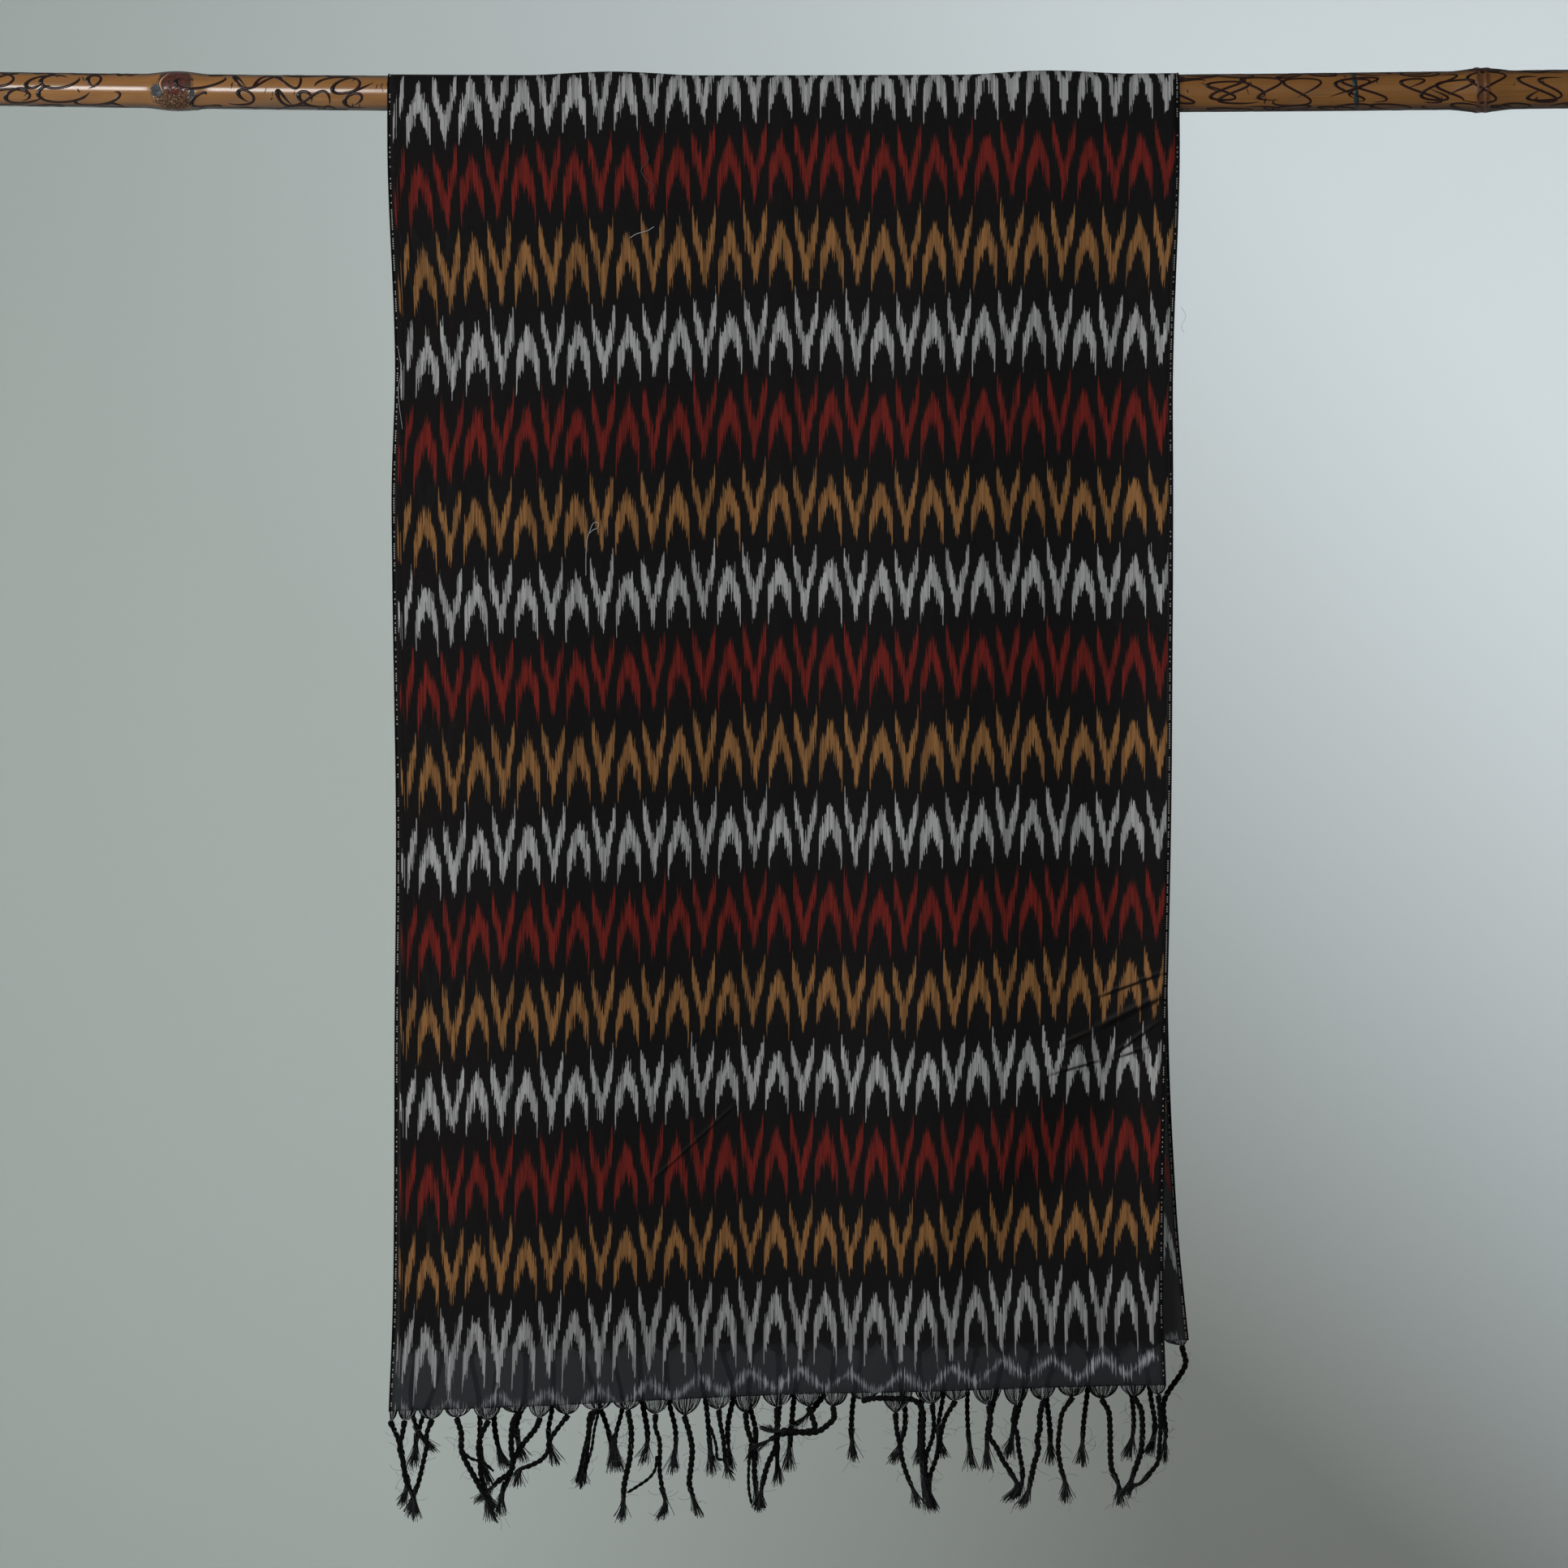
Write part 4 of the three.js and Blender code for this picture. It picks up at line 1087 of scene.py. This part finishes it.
def lacquer_lines(material):
    """Dark looping lines in bands round the rod. In each, X drifts and swings while the arc swings too:
    x = drift t + swing sin at, arc = tall sin bt. On the right the loops stand up (a = 2, b = 1), on
    the left they lie along the rod (a = 1), most as ovals (b = 1) and some as eights (b = 2). They are
    broad and dark where they turn back."""
    lines = Strands()
    for left, right, bands, spacing, turns_along, weight in LACQUER_LOOPS:
        for band, start in itertools.product(range(bands), np.arange(left, right - 12, spacing)):
            start = start + rng.uniform(-5, 5)
            if abs(start - SCAR_X + 5) > SCAR_CLEAR:
                begin = rng.uniform(0, 2 * np.pi)
                t = np.linspace(begin, begin + rng.uniform(4.4, 6.4), 56)
                swing = rng.uniform(9.5, 13)
                drift = rng.uniform(2.0, 4.0) * rng.choice((-1, 1))
                x = start + drift * (t - begin) + swing * np.sin(turns_along * t + rng.uniform(-0.4, 0.4))
                x = np.clip(x, 2 - ROD_LENGTH / 2, ROD_LENGTH / 2 - 2)
                middle = (band + 0.5 * (left < 0)) * 2 * np.pi / bands + rng.uniform(-0.15, 0.15)
                tall = 2.8 / bands * rng.uniform(0.8, 1.15)
                oval = (left < 0) * (rng.random() < 0.75)
                turns_up = 1 if oval or left > 0 else 2
                angle = middle + tall * np.sin(turns_up * t + 1.3 * oval + rng.uniform(-0.3, 0.3))
                turning = 1 - np.abs(np.gradient(x)) / np.abs(np.gradient(x)).max()
                pooled = turning ** 3 * (x < start + drift * 3)
                line_on_rod(lines, x, angle, weight * (1 + 0.9 * pooled), np.clip(pooled * 1.3, 0.3, 1))
        for _ in range(SPOTS_A_SIDE):
            t = np.linspace(0, 1, 12)
            x = rng.uniform(left, right) + rng.uniform(-2, 2) * t
            angle = rng.uniform(-np.pi, np.pi) + rng.uniform(0.15, 0.45) * t
            line_on_rod(lines, x, angle, rng.uniform(0.4, 1.1), 0.9)
        for angle in LONG_LINES:
            t = np.linspace(left, right, 120)
            wave = angle + 0.05 * np.sin(t / 23 + angle) + 0.04 * np.sin(t / 9)
            line_on_rod(lines, t, wave, 0.7 + 0.35 * np.sin(t / 17 + angle), 0.7)
    return lines.finish("lacquer_lines", material, "bamboo")


def teal_bar(material):
    """A worn painted bar half round the rod."""
    bar = Strands()
    t = np.linspace(-1.5, 1.45, 30)
    line_on_rod(bar, 404.5 - 1.2 * np.sin(t * 1.2), t, 2.4, 0.0)
    return bar.finish("teal_bar", material, "bamboo")


def pale_crack(material):
    """A curved split along the left of the scar."""
    crack = Strands()
    t = np.linspace(0, 1, 20)
    line_on_rod(crack, -435.5 - 3.5 * t - 4.2 * np.sin(np.pi * t), 1.0 - 1.2 * t, 0.75, 0.0)
    return crack.finish("pale_crack", material, "bamboo")


# The object
cotton = ikat_cotton()
thread_cotton = twisted_cotton()
cloth, cloth_points = cloth_sheet(cotton)
edges = edge_cords(cloth_points, thread_cotton)
front_fringe = fringe("front_fringe_cords", front, FRONT_TASSELS, SIDE_STRANDS, thread_cotton)
back_fringe = fringe("back_fringe_cords", back, BACK_TASSELS, (), thread_cotton)
loose = loose_threads(thread_cotton)
rod = rod_piece(lacquered_bamboo())
lacquer_lines(dark_lacquer())
teal_bar(plain("teal paint", (7, 40, 42), 0.5))
pale_crack(plain("split cane", (196, 146, 104), 0.6))
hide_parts("front_fall", "rod_turn", "back_fall")
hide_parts("front_fringe")
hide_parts("back_fringe")
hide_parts("rod")

# Stage, light and camera. Places of the wall, the floor and the lights are in metres.
CAMERA_AWAY = 4600
VIEW_WIDTH = 1109
VIEW_PLANE = -16
VIEW_CENTRE_HEIGHT = -489.2
WALL_AWAY = 8.0
FLOOR_HEIGHT = -2.2
STAGE_HALF = 9
WALL_HEIGHTS = (-4, 7)
SENSOR_WIDTH = 36


def stage_plane(name, near, far, material):
    """A plane as wide as the stage, between a near and a far edge, each as Y and Z."""
    corners = [(-STAGE_HALF, *near), (STAGE_HALF, *near), (STAGE_HALF, *far), (-STAGE_HALF, *far)]
    mesh = bpy.data.meshes.new(name)
    mesh.from_pydata(corners, [], [(0, 1, 2, 3)])
    mesh.materials.append(material)
    plane = bpy.data.objects.new(name, mesh)
    bpy.context.collection.objects.link(plane)


def wall_with_painted_light():
    """A wall with painted light and shadow: paler to the upper right, with a painted shadow darker to the
    lower right. Its places are taken where the camera's lines to them cross the plane of the cloth."""
    g = Graph("pale wall")
    growth = (CAMERA_AWAY * MM + WALL_AWAY) / ((CAMERA_AWAY + VIEW_PLANE) * MM)
    centre = VIEW_CENTRE_HEIGHT * MM
    x, _, z = g.place()
    x = x / growth
    z = (z - centre) / growth + centre
    right = ((x + 0.554) / 1.108).clamped()
    far = ((x + 0.277) / 0.554).clamped()
    # Painted shadow: below a soft slanting edge the wall darkens towards the lower right
    low = (0.271 - x * 0.937 - z * 1.102).clamped().power(1.25)
    # Painted light: above that edge the wall is paler towards the right
    upper = g.mix(right, (168, 176, 175), (218, 226, 229))
    lower = g.mix(far, (167, 174, 170), (122, 125, 121))
    return g.finish(base_color=g.mix(low, upper, lower), roughness=1.0, specular_ior_level=0.0)


stage_plane("wall", (WALL_AWAY, WALL_HEIGHTS[0]), (WALL_AWAY, WALL_HEIGHTS[1]), wall_with_painted_light())
stage_plane("floor", (-STAGE_HALF, FLOOR_HEIGHT), (WALL_AWAY, FLOOR_HEIGHT),
            plain("pale floor", (196, 200, 200), 1.0))


def soft_light(name, place, aim, width, height, power):
    """A rectangular light that faces a point and isn't seen itself. Its power is in watts."""
    data = bpy.data.lights.new(name, "AREA")
    data.shape = "RECTANGLE"
    data.size = width
    data.size_y = height
    data.energy = power
    light = bpy.data.objects.new(name, data)
    light.location = place
    light.visible_camera = False
    light.rotation_mode = "QUATERNION"
    light.rotation_quaternion = (Vector(aim) - Vector(place)).to_track_quat("-Z", "Y")
    bpy.context.collection.objects.link(light)


soft_light("main light", (-3.9, -2.0, 0.5), (0, 0, -0.5), 1.4, 1.8, 91)
soft_light("back light", (1.8, 2.8, -0.2), (0, 0, -0.5), 1.2, 1.2, 42)
soft_light("rod light", (-0.75, -2.9, 0.45), (-0.3, 0, -0.2), 0.6, 1.1, 34)
soft_light("wall light", (0, 3.54, -0.6), (0, WALL_AWAY, -0.6), 5.25, 5.25, 227)

world = bpy.data.worlds.new("studio")
world.use_nodes = True
world.node_tree.nodes["Background"].inputs["Color"].default_value = colour(206, 212, 214)
world.node_tree.nodes["Background"].inputs["Strength"].default_value = 0.27
bpy.context.scene.world = world
bpy.context.scene.view_settings.view_transform = "Standard"

lens = bpy.data.cameras.new("camera")
lens.sensor_fit = "HORIZONTAL"
lens.sensor_width = SENSOR_WIDTH
lens.lens = SENSOR_WIDTH * (CAMERA_AWAY + VIEW_PLANE) / VIEW_WIDTH
camera = bpy.data.objects.new("camera", lens)
camera.location = (0, -CAMERA_AWAY * MM, VIEW_CENTRE_HEIGHT * MM)
camera.rotation_euler = (math.pi / 2, 0, 0)
bpy.context.collection.objects.link(camera)
bpy.context.scene.camera = camera
